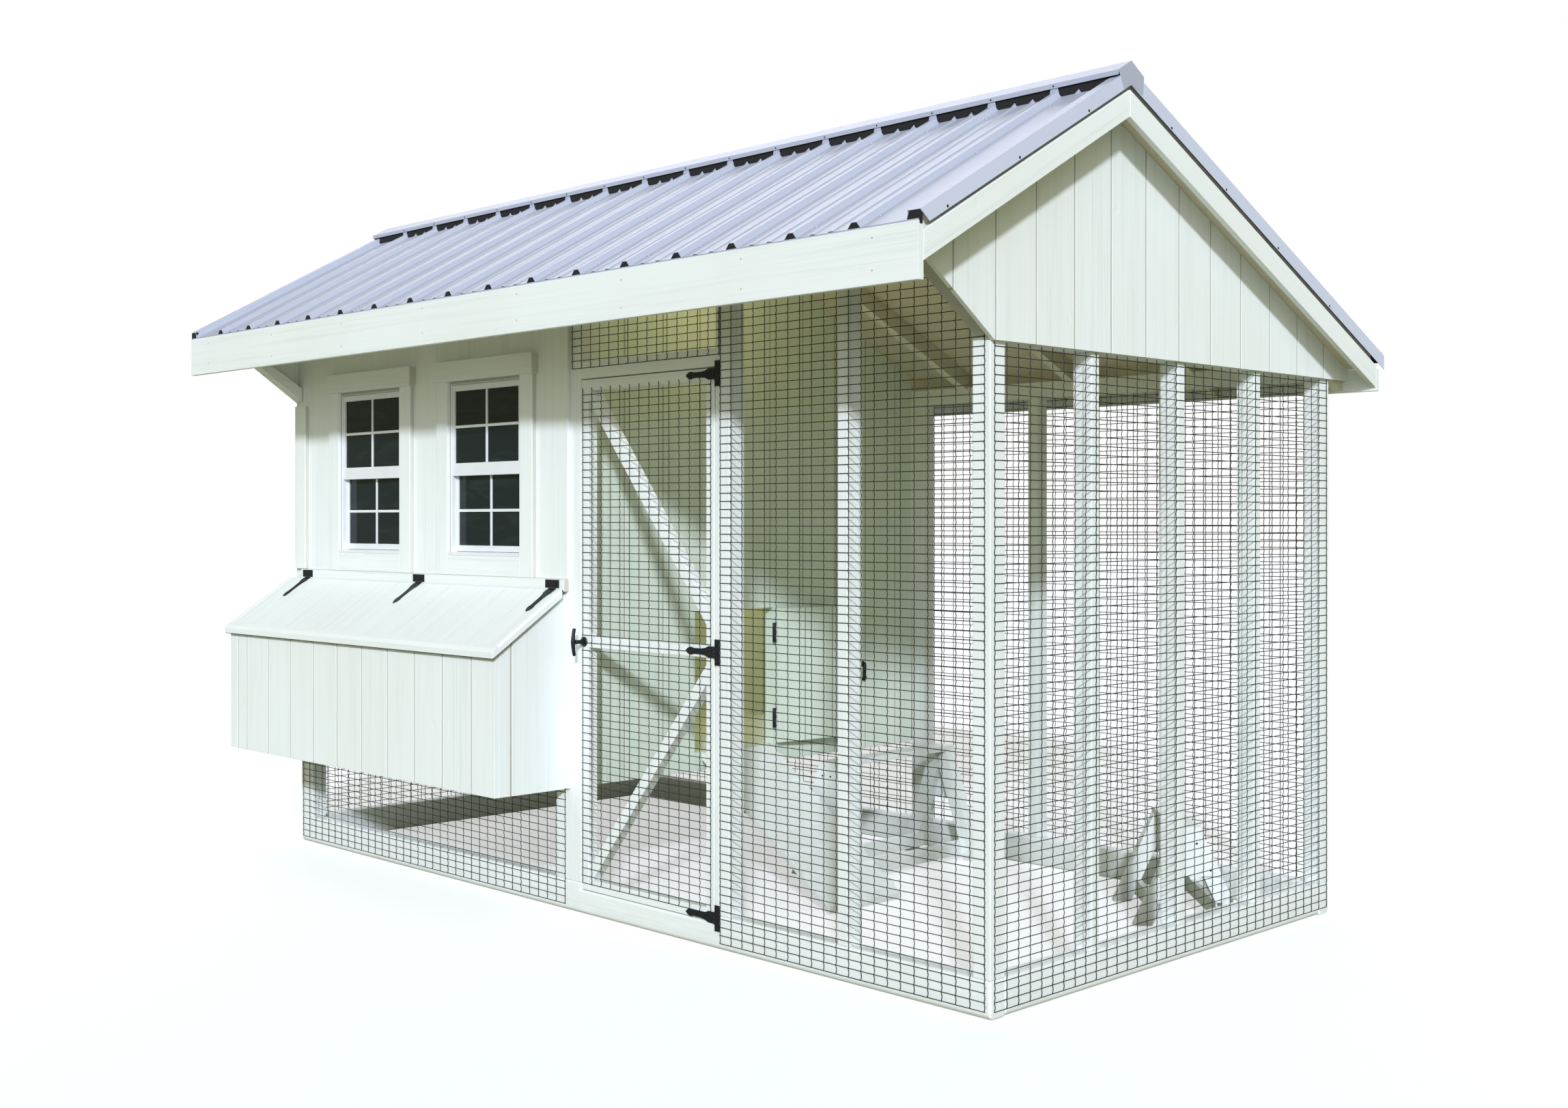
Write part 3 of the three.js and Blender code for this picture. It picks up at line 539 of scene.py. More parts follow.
def roof_sheets():
    section = rib_section()
    thickness = 0.05
    slopes = {"front": (EAVE_FRONT + 0.11, RIDGE_Y - 0.03), "back": (RIDGE_Y + 0.03, EAVE_BACK + 1.19)}
    for side, (y0, y1) in slopes.items():
        piece = Piece()
        rings = []
        for y in (y0, y1):
            under = [(x, y, roof_line(y) + height) for x, height in section]
            over = [(x, y, z + thickness) for x, y, z in under]
            for index, out, lift in ((0, -1, 0), (1, -1, 1), (-1, 1, 0), (-2, 1, 1)):
                x, _, z = under[index]
                over[index] = (x + out * thickness, y, z + lift * thickness)
            ring = under + over[::-1]
            if side == "front" and y == y0:
                slanted = (0, len(under) - 1, len(under), len(ring) - 1)
                ring = [(x, y + 1.4, z + 1.4 * FRONT_SLOPE) if i in slanted else (x, y, z)
                        for i, (x, y, z) in enumerate(ring)]
            rings.append(ring)
        piece.hull_of_rings(rings, 0)
        # Faces that look along X take the brighter copy of the sheet: painted light on the rake flashings.
        for face in piece.mesh.faces:
            face.normal_update()
            if abs(face.normal.x) > 0.95:
                face.material_index = 2
        if side == "front":
            drip_edge = (EAVE_FRONT + 0.13, EAVE_FRONT + 0.6, 81.3, 81.55)
            piece.block(-OVERHANG + 0.1, LENGTH + OVERHANG - 0.1, *drip_edge)
        slope = FRONT_SLOPE if side == "front" else -BACK_SLOPE
        up = Vector((0, -slope, 1)).normalized()
        run = y1 - y0
        for share in (0.07, 0.5, 0.86):
            y = y0 + run * share if side == "front" else y1 - run * share
            for rib in RIBS:
                piece.screw((rib + 1.35, y, roof_line(y) + 1.36 + thickness), up, 0.16, 0.27)
        screws = (-12.64, -1.24, 10.77) if side == "front" else (26.69, 38.31, 50.29, 63.13)
        for x, out in ((-OVERHANG - 0.07, -1), (LENGTH + OVERHANG + 0.07, 1)):
            for y in screws:
                piece.screw((x, y, roof_line(y) + 0.75), (out, 0, 0), 0.2, material=1)
        materials = [METAL, IRON, FLASHING_LIT]
        piece.finish(f"roof_sheet_{side}", materials, [f"roof_metal_{side}"], slot="roof_metal", bevel=0)


def ridge():
    """A folded cap with hems, screwed down over each rib, over black blocks that are painted shadow in the
    void under it.
    """
    apex, half, drop, hem, skin, plate = 103.24, 2.44, 1.4, 0.55, 0.08, 0.05
    front, back, fold = RIDGE_Y - half, RIDGE_Y + half, apex - drop
    left, right = -OVERHANG - 0.14, LENGTH + OVERHANG + 0.14
    piece = Piece()
    outline = [(front, fold - hem), (front + skin, fold - hem), (front + skin, fold - skin),
               (RIDGE_Y, apex - 0.12), (back - skin, fold - skin), (back - skin, fold - hem),
               (back, fold - hem), (back, fold), (RIDGE_Y, apex), (front, fold)]
    piece.prism(outline, left, right, 0)
    for rib in RIBS:
        for y, out in ((front - 0.01, -1), (back + 0.01, 1)):
            piece.screw((rib, y, fold - 0.3), (0, out, 0), 0.12, material=1)
    end_plate = [(front, fold), (RIDGE_Y, apex), (back, fold), (back - 0.2, apex - 3.5),
                 (RIDGE_Y, apex - 2.7), (front + 1.0, apex - 3.4)]
    for x in (left - plate, right):
        piece.prism(end_plate, x, x + plate, 0)
    for y in (front + 0.12, back - 0.12):
        base = roof_line(y) + 1.38
        top = fold - hem + 0.1
        for rib in RIBS:
            tab = [(rib - 0.75, base), (rib + 0.75, base), (rib + 0.5, top), (rib - 0.5, top)]
            piece.prism(tab, y, y + plate, 1)
            for pencil in (rib + 3.2, rib + 5.8):
                if pencil < LENGTH:
                    tab = [(pencil - 0.5, base), (pencil + 0.5, base), (pencil + 0.2, base + 0.5)]
                    piece.prism(tab, y, y + plate, 1)
    piece.finish("ridge_cover", [METAL, IRON], ["ridge_cap"], slot="roof_metal", bevel=0.03)

    # Black blocks under the cap between the ribs: painted shadow in the void there.
    void_shadow = Piece()
    starts = [left + 1.7] + [rib + 0.6 for rib in RIBS]
    ends = [rib - 0.6 for rib in RIBS] + [right - 1.7]
    for side in (-1, 1):
        y = RIDGE_Y + side * 2.2
        y0, y1 = sorted((y, y - side * 0.5))
        for start, end in zip(starts, ends):
            void_shadow.block(start, end, y0, y1, roof_line(y) + 1.44, apex - 1.25)
    void_shadow.finish("ridge_void_shadow", [SHADOW_BLACK], slot="black_iron", bevel=0.03)


def eave_shadow_teeth():
    """Black teeth in the open ribs along the front and back eaves: painted shadow for the dark gaps there."""
    piece = Piece()
    for y0, y1 in ((EAVE_FRONT + 0.16, EAVE_FRONT + 0.5), (EAVE_BACK + 0.3, EAVE_BACK + 0.7)):
        for rib in RIBS:
            base = roof_line(y0) + 1.3
            tooth = [(rib - 0.8, base), (rib + 0.8, base), (rib + 0.3, base + 0.66), (rib - 0.3, base + 0.66)]
            piece.prism(tooth, y0, y1, 1)
        for x0 in (-OVERHANG - 0.1, LENGTH + OVERHANG - 1.5):
            piece.block(x0, x0 + 1.6, y0, y1, roof_line(y0) + 0.9, roof_line(y0) + 2.3)
    piece.finish("eave_shadow_teeth", [SHADOW_BLACK], slot="black_iron", bevel=0)


def rake_boards():
    front_grain = painted_wood("rake_paint_front", 1, turn=FRONT_TURN)
    back_grain = painted_wood("rake_paint_back", 1, turn=BACK_TURN)
    y0, y1, plumb = EAVE_FRONT + BOARD + 0.01, EAVE_BACK - BOARD - 0.01, 3
    for side, x0 in (("left", -OVERHANG), ("right", LENGTH + OVERHANG - BOARD)):
        piece = Piece()
        for start, end, material in ((y0, RIDGE_Y - 0.03, 0), (RIDGE_Y + 0.03, y1, 1)):
            piece.prism(slice_under(roof_line, start, end, plumb), x0, x0 + BOARD, 0, material)
        piece.finish(f"rake_trim_{side}", [front_grain, back_grain], [f"rake_board_{side}"], bevel=0.07)


def nails():
    """Filled nail heads on the front fascia, over each rafter."""
    piece = Piece()
    for x in (1, 21.3, 41.8, 62.4, 83, 103.6, 124.1, 143):
        for z in (80.3, 77.1):
            centre = Vector((x + 0.35 * math.sin(x), EAVE_FRONT + 0.0054, z + 0.2 * math.cos(x)))
            piece.tube([centre + Vector((0, 0.03, 0)), centre], 0.11, 10)
    piece.finish("fascia_nails", [SHADE_AND_FILLER], bevel=0)


def rafters():
    """Rafters and the ridge board, which carry the deck."""
    piece = Piece()
    under, width, cheek = 0.42, 1.5, 0.04
    slopes = ((EAVE_FRONT + BOARD + 0.05, RIDGE_Y - 0.8, 2.5 * math.hypot(1, FRONT_SLOPE)),
              (RIDGE_Y + 0.8, EAVE_BACK - BOARD - 0.05, 2.5 * math.hypot(1, BACK_SLOPE)))
    for x in (0.05, 20.57, 41.1, 61.7, 82.3, 102.9, 123.4, 142.4):
        for material, (y0, y1, depth) in enumerate(slopes):
            outline = slice_under(roof_line, y0, y1, under + depth, under)
            piece.prism(outline, x, x + width - cheek, 0, material)
            # A thin dark cheek on one side of each rafter: painted shadow.
            piece.prism(outline, x + width - cheek, x + width, 0, 3)
    piece.block(0.05, 143.9, RIDGE_Y - 0.75, RIDGE_Y + 0.75, RIDGE_Z - 4.6, RIDGE_Z - 0.85, 2)
    # Painted shade: warm tan undersides, paler than the deck, for the rafters under the roof.
    pale, streaked = (0.95, 0.92, 0.8), (0.82, 0.79, 0.68)
    materials = [painted_wood("rafter_painted_shade_front", 1, pale, streaked, turn=FRONT_TURN),
                 painted_wood("rafter_painted_shade_back", 1, pale, streaked, turn=BACK_TURN), SHADE_WOOD,
                 painted_wood("rafter_painted_shadow_side", 1, (0.6, 0.57, 0.47), (0.5, 0.47, 0.38))]
    piece.finish("rafters", materials, bevel=0.06)


# ---- walls and nest box

WALL_TOP = 71.4
SIDING = 0.6
POP_OPENING = (22.5, 38.2, 19.15, 39.5)


def under_deck(y):
    return roof_line(y) - 0.41


def gable_outline():
    back = EAVE_BACK - BOARD - 0.01
    wing = (under_deck(0) - WALL_TOP) / (0.7 + FRONT_SLOPE)
    return [(0, WALL_TOP), (back, WALL_TOP), (back, under_deck(back)), (RIDGE_Y, under_deck(RIDGE_Y)),
            (-wing, under_deck(-wing))]


def sided(side, node, outline, grooves, back, face, axis, paint=PAINT[2], opening=None):
    piece = Piece()
    grooved(piece, outline, grooves, back, face, axis, opening)
    piece.finish(f"siding_{side}", [paint, SHADE_AND_FILLER], [node], bevel=0.03)


def siding():
    grooves = [-6.69 + 6.93 * n for n in range(13)]
    gable = gable_outline()
    sided("right", "gable_right", gable, grooves, LENGTH + 0.01, LENGTH + SIDING - 0.01, 0)

    front, back, bottom = -SIDING + 0.01, DEPTH + SIDING - 0.01, 16.51
    house_end = [(front, WALL_TOP + 0.42), (front, bottom), (back, bottom), (back, WALL_TOP)]
    sided("left", "wall_left", house_end + gable[1:], grooves, -0.01, front, 0)

    top, end = WALL_TOP - 0.02, 72.29
    field = [(0.01, bottom), (end, bottom), (end, top), (0.01, top)]
    sided("back", "wall_back", field, [6.9 * n for n in range(1, 11)], DEPTH + 0.01, back, 1)

    low, high = limits("partition")
    field = [(low.y, low.z), (high.y, low.z), (high.y, under_deck(high.y) - 0.01),
             (RIDGE_Y, under_deck(RIDGE_Y) - 0.01), (low.y, under_deck(low.y) - 0.01)]
    grooves = [2.5 + 7 * n for n in range(1, 10)]
    sided("partition", "partition", field, grooves, low.x, high.x, 0, PARTITION_SHADE, POP_OPENING)


def trim():
    """Cleats under the roof's wings, the corner board, and painted shade lines on its edge and on the ledger.
    """
    cleats = Piece()
    wing_y, wing_z = gable_outline()[-1]
    outline = [(-0.7, WALL_TOP + 0.55), (wing_y + 0.1, wing_z - 0.1), (wing_y + 2.2, wing_z - 0.1),
               (-0.7, WALL_TOP + 2.7)]
    # The right cleat takes the dark paint: painted shade under the right wing.
    for x, material in ((0.01, 0), (142.49, 1)):
        cleats.prism(outline, x, x + 1.5, 0, material)
    cleats.finish("wing_cleats", [PAINT[1], SHADE_AND_FILLER])

    boards = Piece()
    boards.block(0.16, 3.36, -1.3, -SIDING, 44.75, 71.2, 0)
    # Dark strips on the corner board's side and along the ledger's top and end: painted shade.
    boards.block(3.3, 3.4, -1.2, -SIDING, 44.8, 71.1, 1)
    low, high = limits("nest_ledger")
    boards.block(low.x + 0.1, high.x, low.y - 0.008, -SIDING, high.z - 0.08, high.z + 0.01, 1)
    boards.block(high.x - 0.04, high.x + 0.04, low.y + 0.05, -SIDING, low.z, high.z, 1)
    boards.finish("corner_board", [PAINT[2], TRIM_SHADE], bevel=0.06)


LID_SLOPE = 0.6745
LID_TOP = 43.3
LID_BACK, LID_FRONT = -1.45, -12.7
SEAMS = [4.43 + 6.885 * n for n in range(10)]


def lid_top(y):
    return LID_TOP - LID_SLOPE * (LID_BACK - y)


def lid_underside(y):
    return lid_top(y) - 1.25


def nest_box():
    """Grooved front and ends, a floor, and four dividers between the nests."""
    low, high = limits("nest_box")
    front = low.y + SIDING
    piece = Piece()
    top = lid_underside(low.y)
    field = [(low.x, low.z), (high.x, low.z), (high.x, top), (low.x, top)]
    grooved(piece, field, [1.7] + SEAMS, front, low.y, 1)
    for back, face in ((low.x + SIDING, low.x), (high.x - SIDING, high.x)):
        outline = [(front + 0.02, low.z), (-SIDING - 0.01, low.z), (-SIDING - 0.01, lid_underside(-SIDING)),
                   (front + 0.02, lid_underside(front))]
        grooved(piece, outline, [low.y + 2.6], back, face, 0)
    piece.block(low.x + SIDING, high.x - SIDING, front, -SIDING, low.z + 0.02, low.z + 1)
    divider = [(front, low.z + 1), (-SIDING, low.z + 1), (-SIDING, lid_underside(-SIDING)),
               (front, lid_underside(front))]
    for number in range(1, 5):
        x = 3.5 + 65.4 * number / 5
        piece.prism(divider, x - 1.2, x + 1.2, 0)
    piece.finish("nest_boards", [PAINT[2], SHADE_AND_FILLER], ["nest_box"])


def nest_lid():
    low, high = limits("nest_lid")
    grain = painted_wood("lid_paint", 1, turn=(math.atan(LID_SLOPE), 0, 0))
    edge, nose, gap, rounding = 1.0, 0.9, 0.05, 0.3
    left, right = low.x + edge, high.x - edge
    y0, y1 = LID_FRONT + nose, LID_BACK - 0.02
    piece = Piece()
    bounds = [left] + SEAMS + [right]
    for a, b in zip(bounds, bounds[1:]):
        start, end = a + (gap if a > left else 0), b - (gap if b < right else 0)
        piece.prism(slice_under(lid_top, y0, y1, 1.1, 0.06), start, end, 0, 0)
    # A dark backing that shows in the gaps between the boards: painted shade.
    piece.prism(slice_under(lid_top, y0, y1, 1.0, 0.09), left, right, 0, 2)

    tip = LID_FRONT + 0.02
    front = [(tip, lid_top(tip) - 1.1), (y0, lid_top(y0) - 1.13), (y0, lid_top(y0) - 0.01),
             (tip + rounding, lid_top(tip + rounding) - 0.01), (tip, lid_top(tip) - 0.32)]
    piece.prism(front, low.x + 0.01, high.x - 0.01, 0, 1)
    for inner, outer, cut in ((left, low.x + 0.01, rounding), (right, high.x - 0.01, -rounding)):
        rings = []
        for y in (y0 + 0.02, y1):
            top = lid_top(y)
            rings.append([(inner, y, top - 1.12), (outer, y, top - 1.12), (outer, y, top - rounding),
                          (outer + cut, y, top - 0.01), (inner, y, top - 0.01)])
        piece.hull_of_rings(rings, 0)
    # Black strips under the lid's front and side edges: painted shadow.
    for x0, x1, start, end in ((low.x + 0.05, high.x - 0.05, LID_FRONT + 0.06, LID_FRONT + 0.8),
                               (low.x + 0.05, low.x + 0.8, LID_FRONT + 0.85, -2.0),
                               (high.x - 0.8, high.x - 0.05, LID_FRONT + 0.85, -2.0)):
        piece.prism(slice_under(lid_top, start, end, 1.21, 1.1), x0, x1, 0, 3)
    materials = [grain, PAINT[0], SHADE_AND_FILLER, SHADOW_BLACK]
    piece.finish("lid_boards", materials, ["nest_lid"], body="lid", bevel=0.04)

    # A black strip between the lid's back edge and the ledger: painted shadow in the gap.
    gap_shadow = Piece()
    gap_shadow.block(2.3, 72.4, -1.43, -1.352, 43.0, 43.17)
    gap_shadow.finish("lid_gap_shadow", [SHADOW_BLACK], slot="black_iron", bevel=0.02)


# ---- windows

def window(name, centre):
    """Casing boards round a sliding window: an upper sash in front and a lower one behind it."""
    half, board, ear = 8.9, 2.9, 0.4
    sill, jamb, lintel, top = 44.71, 47.5, 72.68, 75.58
    face, middle = -SIDING - BOARD, (0, centre, 0)
    side, reach = half + board, half + board + ear - 0.01
    casing = Piece()
    for x0, x1 in ((-side, -half), (half, side)):
        casing.block(x0 + 0.01, x1 - 0.01, face + 0.01, -SIDING, sill, lintel, 0)
    casing.block(-half, half, face + 0.01, -SIDING, sill, jamb, 1)
    casing.block(-reach, reach, face - ear + 0.01, -SIDING, lintel + 0.02, top, 1)
    # Painted shade: dark strips on the right side faces of the side and head casings.
    for x, y, z0, z1 in ((side, face, sill + 0.04, lintel - 0.03),
                         (side + ear, face - ear, lintel + 0.07, top - 0.08)):
        casing.block(x - 0.05, x + 0.03, y + 0.12, -SIDING, z0, z1, 2)
    casing.finish(f"{name}_casing", [PAINT[2], PAINT[0], TRIM_SHADE], [f"{name}_frame"], bevel=0.07,
                  turn=middle)

    unit = Piece()
    frame_ring(unit, half, jamb + 0.01, lintel + 0.01, -0.8, 1.5, 0.5)
    unit.block(-half, half, -1.3, -0.9, jamb + 0.01, jamb + 0.4)
    sash(unit, 59.0, 72.2, -0.75, -0.05, 60.83, 71.26, 66.1)
    # Painted shade: dark strips down the jambs and across the head of the unit, where the casing shades it.
    for x0, x1, z0, z1 in ((-half + 0.01, -half + 0.2, 47.6, 72.6), (half - 0.16, half - 0.01, 47.6, 72.6),
                           (-half + 0.1, half - 0.1, 72.3, 72.68), (-8.36, 8.36, 72.08, 72.22)):
        unit.block(x0, x1, -0.84, -0.7, z0, z1, 1)
    unit.finish(f"{name}_unit", [VINYL, SHADE_AND_FILLER], turn=middle)

    lower, lower_body = Piece(), name.replace("window", "sash")
    sash(lower, 48.08, 60.68, 0.02, 0.68, 48.94, 59.4, 53.98, inner=8.05)
    lower.finish(f"{name}_lower_sash", [VINYL], [f"{name}_sash"], body=lower_body, turn=middle)

    for level, z0, z1, y, body in (("upper", 60.5, 71.6, -0.4, "coop"),
                                   ("lower", 48.6, 59.7, 0.35, lower_body)):
        glass, title = Piece(), f"{name}_glass_{level}"
        glass.block(-8.2, 8.2, y - 0.06, y + 0.06, z0, z1)
        glass.finish(title, [GLASS], body=body, slot="window_glass", bevel=0.02, turn=middle)


def frame_ring(piece, half, z0, z1, y0, y1, width):
    for x in (-half, half - width):
        piece.block(x, x + width, y0, y1, z0, z1)
    for z in (z0, z1 - width):
        piece.block(-half + width, half - width, y0, y1, z, z + width)


def sash(piece, z0, z1, y0, y1, glass_low, glass_high, bar, inner=7.87):
    outer, muntin = 8.33, 0.2
    bead = (y0 + 0.12, y1 - 0.12)
    for stile, glazing in (((-outer, -inner), (-inner, -muntin)), ((inner, outer), (muntin, inner))):
        piece.block(*stile, y0, y1, z0, z1)
        piece.block(*glazing, *bead, bar - muntin, bar + muntin)
    for low, high in ((z0, glass_low), (glass_high, z1)):
        piece.block(-inner, inner, y0, y1, low, high)
    piece.block(-muntin, muntin, *bead, glass_low, glass_high)


# ---- door and ironwork

DOOR = {"left": 74.6, "right": 101.0, "low": 3.35, "high": 71.25, "stock": 1.5}
RAILS = (35.65, 37.15)


def inner_brace(piece, start, end, width, box, depth, material):
    """A diagonal board cut off square where it meets the boards round it."""
    a, b = Vector(start), Vector(end)
    along_board = (b - a).normalized()
    side = Vector((-along_board.y, along_board.x)) * width / 2
    a, b = a - along_board * 4, b + along_board * 4
    outline = [tuple(p) for p in (a - side, b - side, b + side, a + side)]
    outline = clip(clip(outline, 0, box[0], box[1]), 1, box[2], box[3])
    piece.prism(outline, *depth, 1, material)


def door():
    d = DOOR
    inner = (d["left"] + d["stock"], d["right"] - d["stock"])
    outer_z, y = (d["low"] + 0.01, d["high"] - 0.01), (0.01, 1.49)
    under, over = (d["low"] + d["stock"], RAILS[0]), (RAILS[1], d["high"] - d["stock"])
    piece = Piece()
    for x in ((d["left"] + 0.01, inner[0]), (inner[1], d["right"] - 0.01)):
        piece.block(*x, *y, *outer_z, 0)
    for rail in ((outer_z[0], under[0]), RAILS, (over[1], outer_z[1])):
        piece.block(*inner, *y, *rail, 1)
    materials = [PAINT[2], PAINT[0]]
    braces = (("low", d["low"] + 1, RAILS[0] - 1.6, under), ("high", d["high"] - 1, RAILS[1] + 3.2, over))
    for number, (level, start_z, end_z, between) in enumerate(braces, start=2):
        start, end = (d["left"] + 1, start_z), (inner[1] + 0.4, end_z)
        angle = math.atan2(end[1] - start[1], end[0] - start[0])
        materials.append(painted_wood(f"brace_paint_{level}", 0, turn=(0, -angle, 0)))
        inner_brace(piece, start, end, d["stock"], (*inner, *between), (0.03, 1.47), number)
    piece.finish("door_boards", materials, ["door_frame"], body="door")


HINGES = {"bottom": 3.87, "middle": 36.38, "top": 70.53}


def strap_outline(length, root, waist, tip):
    """Half of a T-hinge strap: distances from the pin, and half widths."""
    upper = [(0.0, root), (0.9, root), (1.5, waist * 1.25), (2.2, waist), (length - 1.5, waist * 0.95),
             (length - 1.0, tip), (length - 0.55, tip * 0.85), (length - 0.2, tip * 0.4)]
    return upper + [(length, 0.0)] + [(a, -b) for a, b in reversed(upper)]


def door_hinges():
    for name, height in HINGES.items():
        strap = Piece()
        outline = [(DOOR["right"] - a - 0.02, height + b) for a, b in strap_outline(5.08, 0.7, 0.36, 0.48)]
        strap.prism(outline, -0.215, -0.105, 1)
        for a, z in ((0.55, 0.3), (0.55, -0.3), (2.0, 0), (3.4, 0)):
            strap.screw((DOOR["right"] - a, -0.21, height + z), (0, -1, 0), 0.14)
        node = f"door_hinge_{name}"
        strap.finish(f"hinge_strap_{name}", [IRON], [node], body="door", slot="black_iron", bevel=0.03)

        plate = Piece()
        low, high = height - 1.59, height + 1.59
        plate.block(101.22, 102.1, -0.2, -0.1, low, high)
        for start, end, radius in ((-0.72, -0.28, 0.16), (0.28, 0.72, 0.16), (-0.25, 0.25, 0.15)):
            plate.tube([(101.1, -0.16, height + start), (101.1, -0.16, height + end)], radius, 10)
        for z in (low + 0.4, height, high - 0.4):
            plate.screw((101.75, -0.2, z), (0, -1, 0), 0.14)
        plate.finish(f"hinge_plate_{name}", [IRON], slot="black_iron", bevel=0.03)


def handle():
    x, centre = DOOR["left"] + 0.7, RAILS[0] + 0.75
    piece = Piece()
    piece.tube([(x, -0.1, centre), (x, -0.2, centre), (x, -0.28, centre)], [0.66, 0.66, 0.5], 24)
    stem = [(x, y, centre) for y in (-0.25, -0.5, -1.2, -1.7)]
    piece.tube(stem, [0.45, 0.3, 0.26, 0.32], 16)
    half, points, radii = 1.75, [], []
    for step in range(13):
        share = step / 6 - 1
        points.append((x, -1.95 + 0.2 * share * share, centre + half * share))
        radii.append(0.2 + 0.1 * (1 - abs(share)) + (0.03 if abs(share) > 0.8 else 0))
    points = [(x, points[0][1], centre - half - 0.08)] + points + [(x, points[-1][1], centre + half + 0.08)]
    piece.tube(points, [0.12] + radii + [0.12], 14, across=Vector((1, 0, 0)))
    piece.screw((x, -2.18, centre), (0, -1, 0), 0.11)
    piece.finish("latch_handle", [IRON], ["door_handle"], body="handle", slot="black_iron", bevel=0)


def lid_hinges():
    """Three T-hinges: each has a plate on the ledger, and a strap with its barrel on the lid."""
    slant = Vector((0, -1, -LID_SLOPE)).normalized()
    up = Vector((0, -LID_SLOPE, 1)).normalized()
    thickness, barrel = 0.11, 0.11
    for number, x in enumerate((4.5, 37.2, 70.0), start=1):
        plate = Piece()
        plate.block(x - 1.5, x + 1.5, -1.47, -1.355, LID_TOP + 0.16, LID_TOP + 1.25)
        for side in (-1.05, 1.05):
            plate.screw((x + side, -1.46, LID_TOP + 0.75), (0, -1, 0), 0.13)
        plate.finish(f"lid_hinge_plate_{number}", [IRON], slot="black_iron", bevel=0.02)

        strap = Piece()
        pin = Vector((x, LID_BACK, LID_TOP))
        corners = strap_outline(5.2, 0.8, 0.42, 0.54)
        rings = []
        for lift, nearest in ((0.0, 0.08), (thickness, 0.32)):
            rings.append([pin + slant * max(a, nearest) + Vector((b, 0, 0)) + up * lift for a, b in corners])
        strap.hull_of_rings(rings)
        strap.tube([pin - Vector((0.8, 0, 0)), pin + Vector((0.8, 0, 0))], barrel, 10)
        for a in (0.8, 2.2, 3.6):
            strap.screw(pin + slant * a + up * thickness * 0.9, up, 0.13)
        strap.finish(f"lid_hinge_strap_{number}", [IRON], body="lid", slot="black_iron", bevel=0.02)


# ---- welded wire

CELL_WIDE, CELL_HIGH = 2.0, 1.0
WIRE_RADIUS = 0.052


def crimped(rng, start, end, level):
    """The points of an upright wire, which bows a little between the cross wires."""
    points = []
    count = max(int(round((end - start) / CELL_HIGH)), 1)
    pitch = (end - start) / count
    for step in range(count + 1):
        points.append((level, start + step * pitch))
        if step < count:
            points.append((level + 0.11, start + (step + 0.5) * pitch))
    drift = rng.uniform(-0.03, 0.03)
    return [(a + drift, b) for a, b in points]


def wire_panel(name, node, body, axis, seed):
    """Welded wire over the whole of a CAD panel. axis is the one that the panel faces along."""
    rng = random.Random(seed)
    low, high = limits(node)
    along_axis = 1 - axis
    a0, a1 = low[along_axis] + 0.05, high[along_axis] - 0.05
    z0, z1 = low.z + 0.06, high.z - 0.06
    level = (low[axis] + high[axis]) / 2
    outwards = 0.02 if level > 30 else -0.02

    def point(a, z, lift):
        spot = [0, 0, z]
        spot[along_axis] = a
        spot[axis] = level + outwards * lift
        return spot

    piece = Piece()
    columns = max(int(round((a1 - a0) / CELL_WIDE)), 1)
    for column in range(columns + 1):
        a = a0 + (a1 - a0 - 0.12) * column / columns
        piece.tube([point(*each, 1.0) for each in crimped(rng, z0, z1, a)], WIRE_RADIUS, 5)
    rows = int((z1 - z0) / CELL_HIGH)
    for row in range(rows + 1):
        z = z0 + row * CELL_HIGH
        sag = rng.uniform(-0.02, 0.02)
        points = []
        for step in range(9):
            share = step / 8
            points.append(point(a0 + (a1 - a0) * share, z + sag * math.sin(share * 9 + row), -1.0))
        piece.tube(points, WIRE_RADIUS, 5)
    piece.finish(name, [WIRE], [node], body=body, slot="wire_mesh", bevel=0)


def wires():
    panels = (("mesh_front_run", 1), ("mesh_transom", 1), ("mesh_front_lower", 1), ("mesh_right", 0),
              ("mesh_back_run", 1), ("mesh_back_lower", 1), ("mesh_left", 0), ("mesh_door", 1))
    for seed, (node, axis) in enumerate(panels):
        wire_panel(node.replace("mesh", "wire"), node, "door" if node == "mesh_door" else "coop", axis, seed)


# ---- pop door, ramp and roosts

def pop_door():
    front, back, low, high = POP_OPENING
    leaf = Piece()
    edge = 0.13
    right = back - front - edge
    field = [(edge, low + edge), (right, low + edge), (right, high - edge), (edge, high - edge)]
    grooved(leaf, field, [5.3, 10.6], 0.26, 0.84, 0)
    turn = (-7, 72.2, back)
    # The leaf takes the partition's painted shade, with dark painted shade in its grooves.
    leaf.finish("pop_door_leaf", [PARTITION_SHADE, SHADE_AND_FILLER], ["pop_door"], body="pop_leaf", turn=turn)

    barrels = Piece()
    for z0, z1 in ((21.5, 24.4), (34.3, 37.2)):
        barrels.tube([(72.32, 38.0, z0), (72.32, 38.0, z1)], 0.22, 12)
        barrels.block(72.02, 72.1, 38.2, 39.6, z0, z1)
        for z in (z0 + 0.5, z1 - 0.5):
            barrels.screw((72.1, 39.1, z), (1, 0, 0), 0.14)
    barrels.finish("pop_door_hinges", [IRON], slot="black_iron", bevel=0.02)

    hook = Piece()
    hook.tube([(72.05, 57.75, 29.9), (72.5, 57.75, 29.9), (72.6, 57.7, 29.4), (72.4, 57.8, 28.2),
               (72.5, 57.9, 27.7), (72.3, 57.8, 27.4)], 0.28, 8)
    hook.tube([(72.02, 57.75, 29.9), (72.12, 57.75, 29.9)], 0.5, 10)
    hook.tube([(72.02, 57.8, 27.6), (72.2, 57.8, 27.6)], 0.36, 10)
    hook.finish("pop_door_hook", [IRON], slot="black_iron", bevel=0)


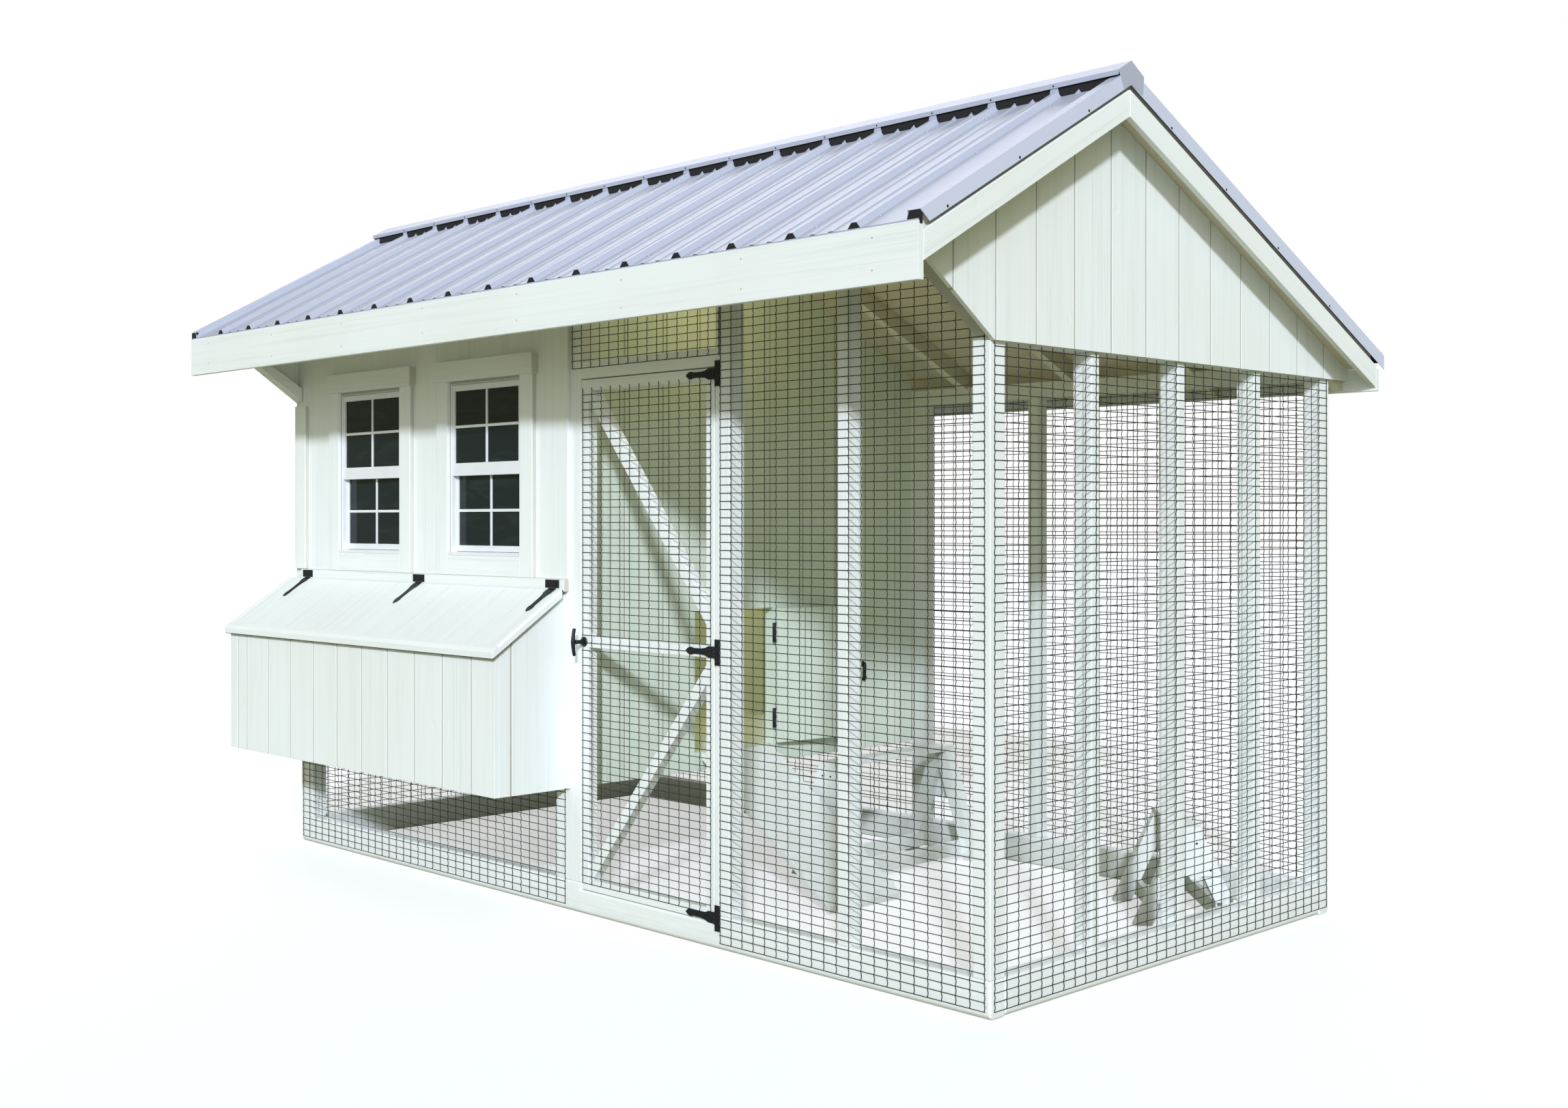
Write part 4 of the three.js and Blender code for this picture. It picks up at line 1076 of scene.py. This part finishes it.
def ramp():
    """Two boards down from the pop door, with rounded cleats across them."""
    top, foot, side = (72.9, 19.1), (98.4, 1.1), (23.0, 37.0)
    slope = (top[1] - foot[1]) / (foot[0] - top[0])
    plumb, pitch, gap = 0.75 * math.hypot(1, slope), 3.6, 0.03

    def surface(x):
        return top[1] - slope * (x - top[0])

    materials = [painted_wood("ramp_paint", 0, turn=(0, math.atan(slope), 0)), PAINT[1]]
    piece = Piece()
    x0, x1, middle = top[0] + 0.01, foot[0] - 0.01, (side[0] + side[1]) / 2
    outline = [(x0, surface(top[0]) - plumb + 0.02), (x1, surface(foot[0]) - plumb + 0.02),
               (x1, surface(foot[0]) - 0.01), (x0, surface(top[0]) - 0.01)]
    piece.prism(outline, side[0] + 0.01, middle - gap, 1, 0)
    piece.prism(outline, middle + gap, side[1] - gap, 1, 0)
    cleat = [(0, -0.05), (0, 0.22), (0.14, 0.36), (0.45, 0.39), (0.76, 0.36), (0.9, 0.22), (0.9, -0.05)]
    x = top[0] + 2
    while x < foot[0] - 1:
        piece.prism([(x + a, surface(x + a) + b) for a, b in cleat], side[0] + 0.01, side[1] - 0.01, 1, 1)
        x += pitch
    piece.finish("ramp_boards", materials, ["ramp"])


def roost(name, length, height, foot_width, centre, turn):
    """A stand with two A-shaped ends, a bar on top and a rail low on each side."""
    foot, crown, leg, stock, plate = foot_width / 2, 1.6, 2.4, 1.4, 0.5
    end, low = length / 2, height * 0.54

    def outside(z):
        return foot + (crown - foot) * z / height

    piece = Piece()
    gusset = [(-outside(low), low), (outside(low), low), (crown, height), (-crown, height)]
    for leg_x, face, outward in ((-end + plate, -end, -1), (end - plate - stock, end - plate, 1)):
        for side in (-1, 1):
            outline = [(side * (foot - leg), 0.02), (side * foot, 0.02), (side * crown, height),
                       (side * (crown - leg), height)]
            piece.prism(outline, leg_x, leg_x + stock, 0, 1)
        piece.prism(gusset, face, face + plate, 0, 1)
        for share, z in ((0.55, low + 0.8), (-0.55, low + 0.8), (0.3, height - 1.3), (-0.3, height - 1.3)):
            piece.screw((outward * end, share * outside(z) * 1.25, z), (outward, 0, 0), 0.16, material=2)
    piece.block(-end + 0.02, end - 0.02, -crown + 0.02, crown - 0.02, height - 0.05, height + 0.78, 0)
    for y in (-1, 1):
        spot = y * (outside(3.1) - leg + 0.4)
        piece.block(-end + plate, end - plate, spot - 0.38, spot + 0.38, 0.92, 3.08, 0)
    grain = painted_wood(f"{name}_paint", 0, turn=(0, 0, math.radians(turn)))
    piece.finish(f"{name}_boards", [grain, PAINT[2], IRON], [name], bevel=0.08, turn=(turn, *centre))


# ---- timbers that keep their CAD shape

def paint_cad_nodes():
    """Paint with its grain along the longest side, and eased edges."""
    for name, obj in NODES.items():
        if obj.hide_render:
            continue
        low, high = limits(name)
        size = high - low
        axis = max(range(3), key=lambda k: size[k])
        # The roof deck takes the underside paint, a painted shade.
        if name.startswith("roof_deck"):
            material = SHADE_WOOD
        elif name == "wall_front":
            material = PAINT[2]
        else:
            material = PAINT[axis]
        obj.data.materials.clear()
        obj.data.materials.append(material)
        weld = obj.modifiers.new("weld", "WELD")
        weld.merge_threshold = 0.0002
        width, steps = (0.28, 3) if name.startswith("sill") else (0.07, 2)
        round_edges(obj, width, steps)


camera_and_light()
floor()
roof_sheets()
ridge()
eave_shadow_teeth()
rake_boards()
nails()
rafters()
siding()
trim()
nest_box()
nest_lid()
window("window_left", 22.85)
window("window_right", 53.5)
door()
door_hinges()
handle()
lid_hinges()
wires()
pop_door()
ramp()
roost("roost_back", 28, 16.6, 15, (82.5, 52.3), 92)
roost("roost_front", 16.8, 12.1, 14.4, (129.7, 57.4), 135)
paint_cad_nodes()
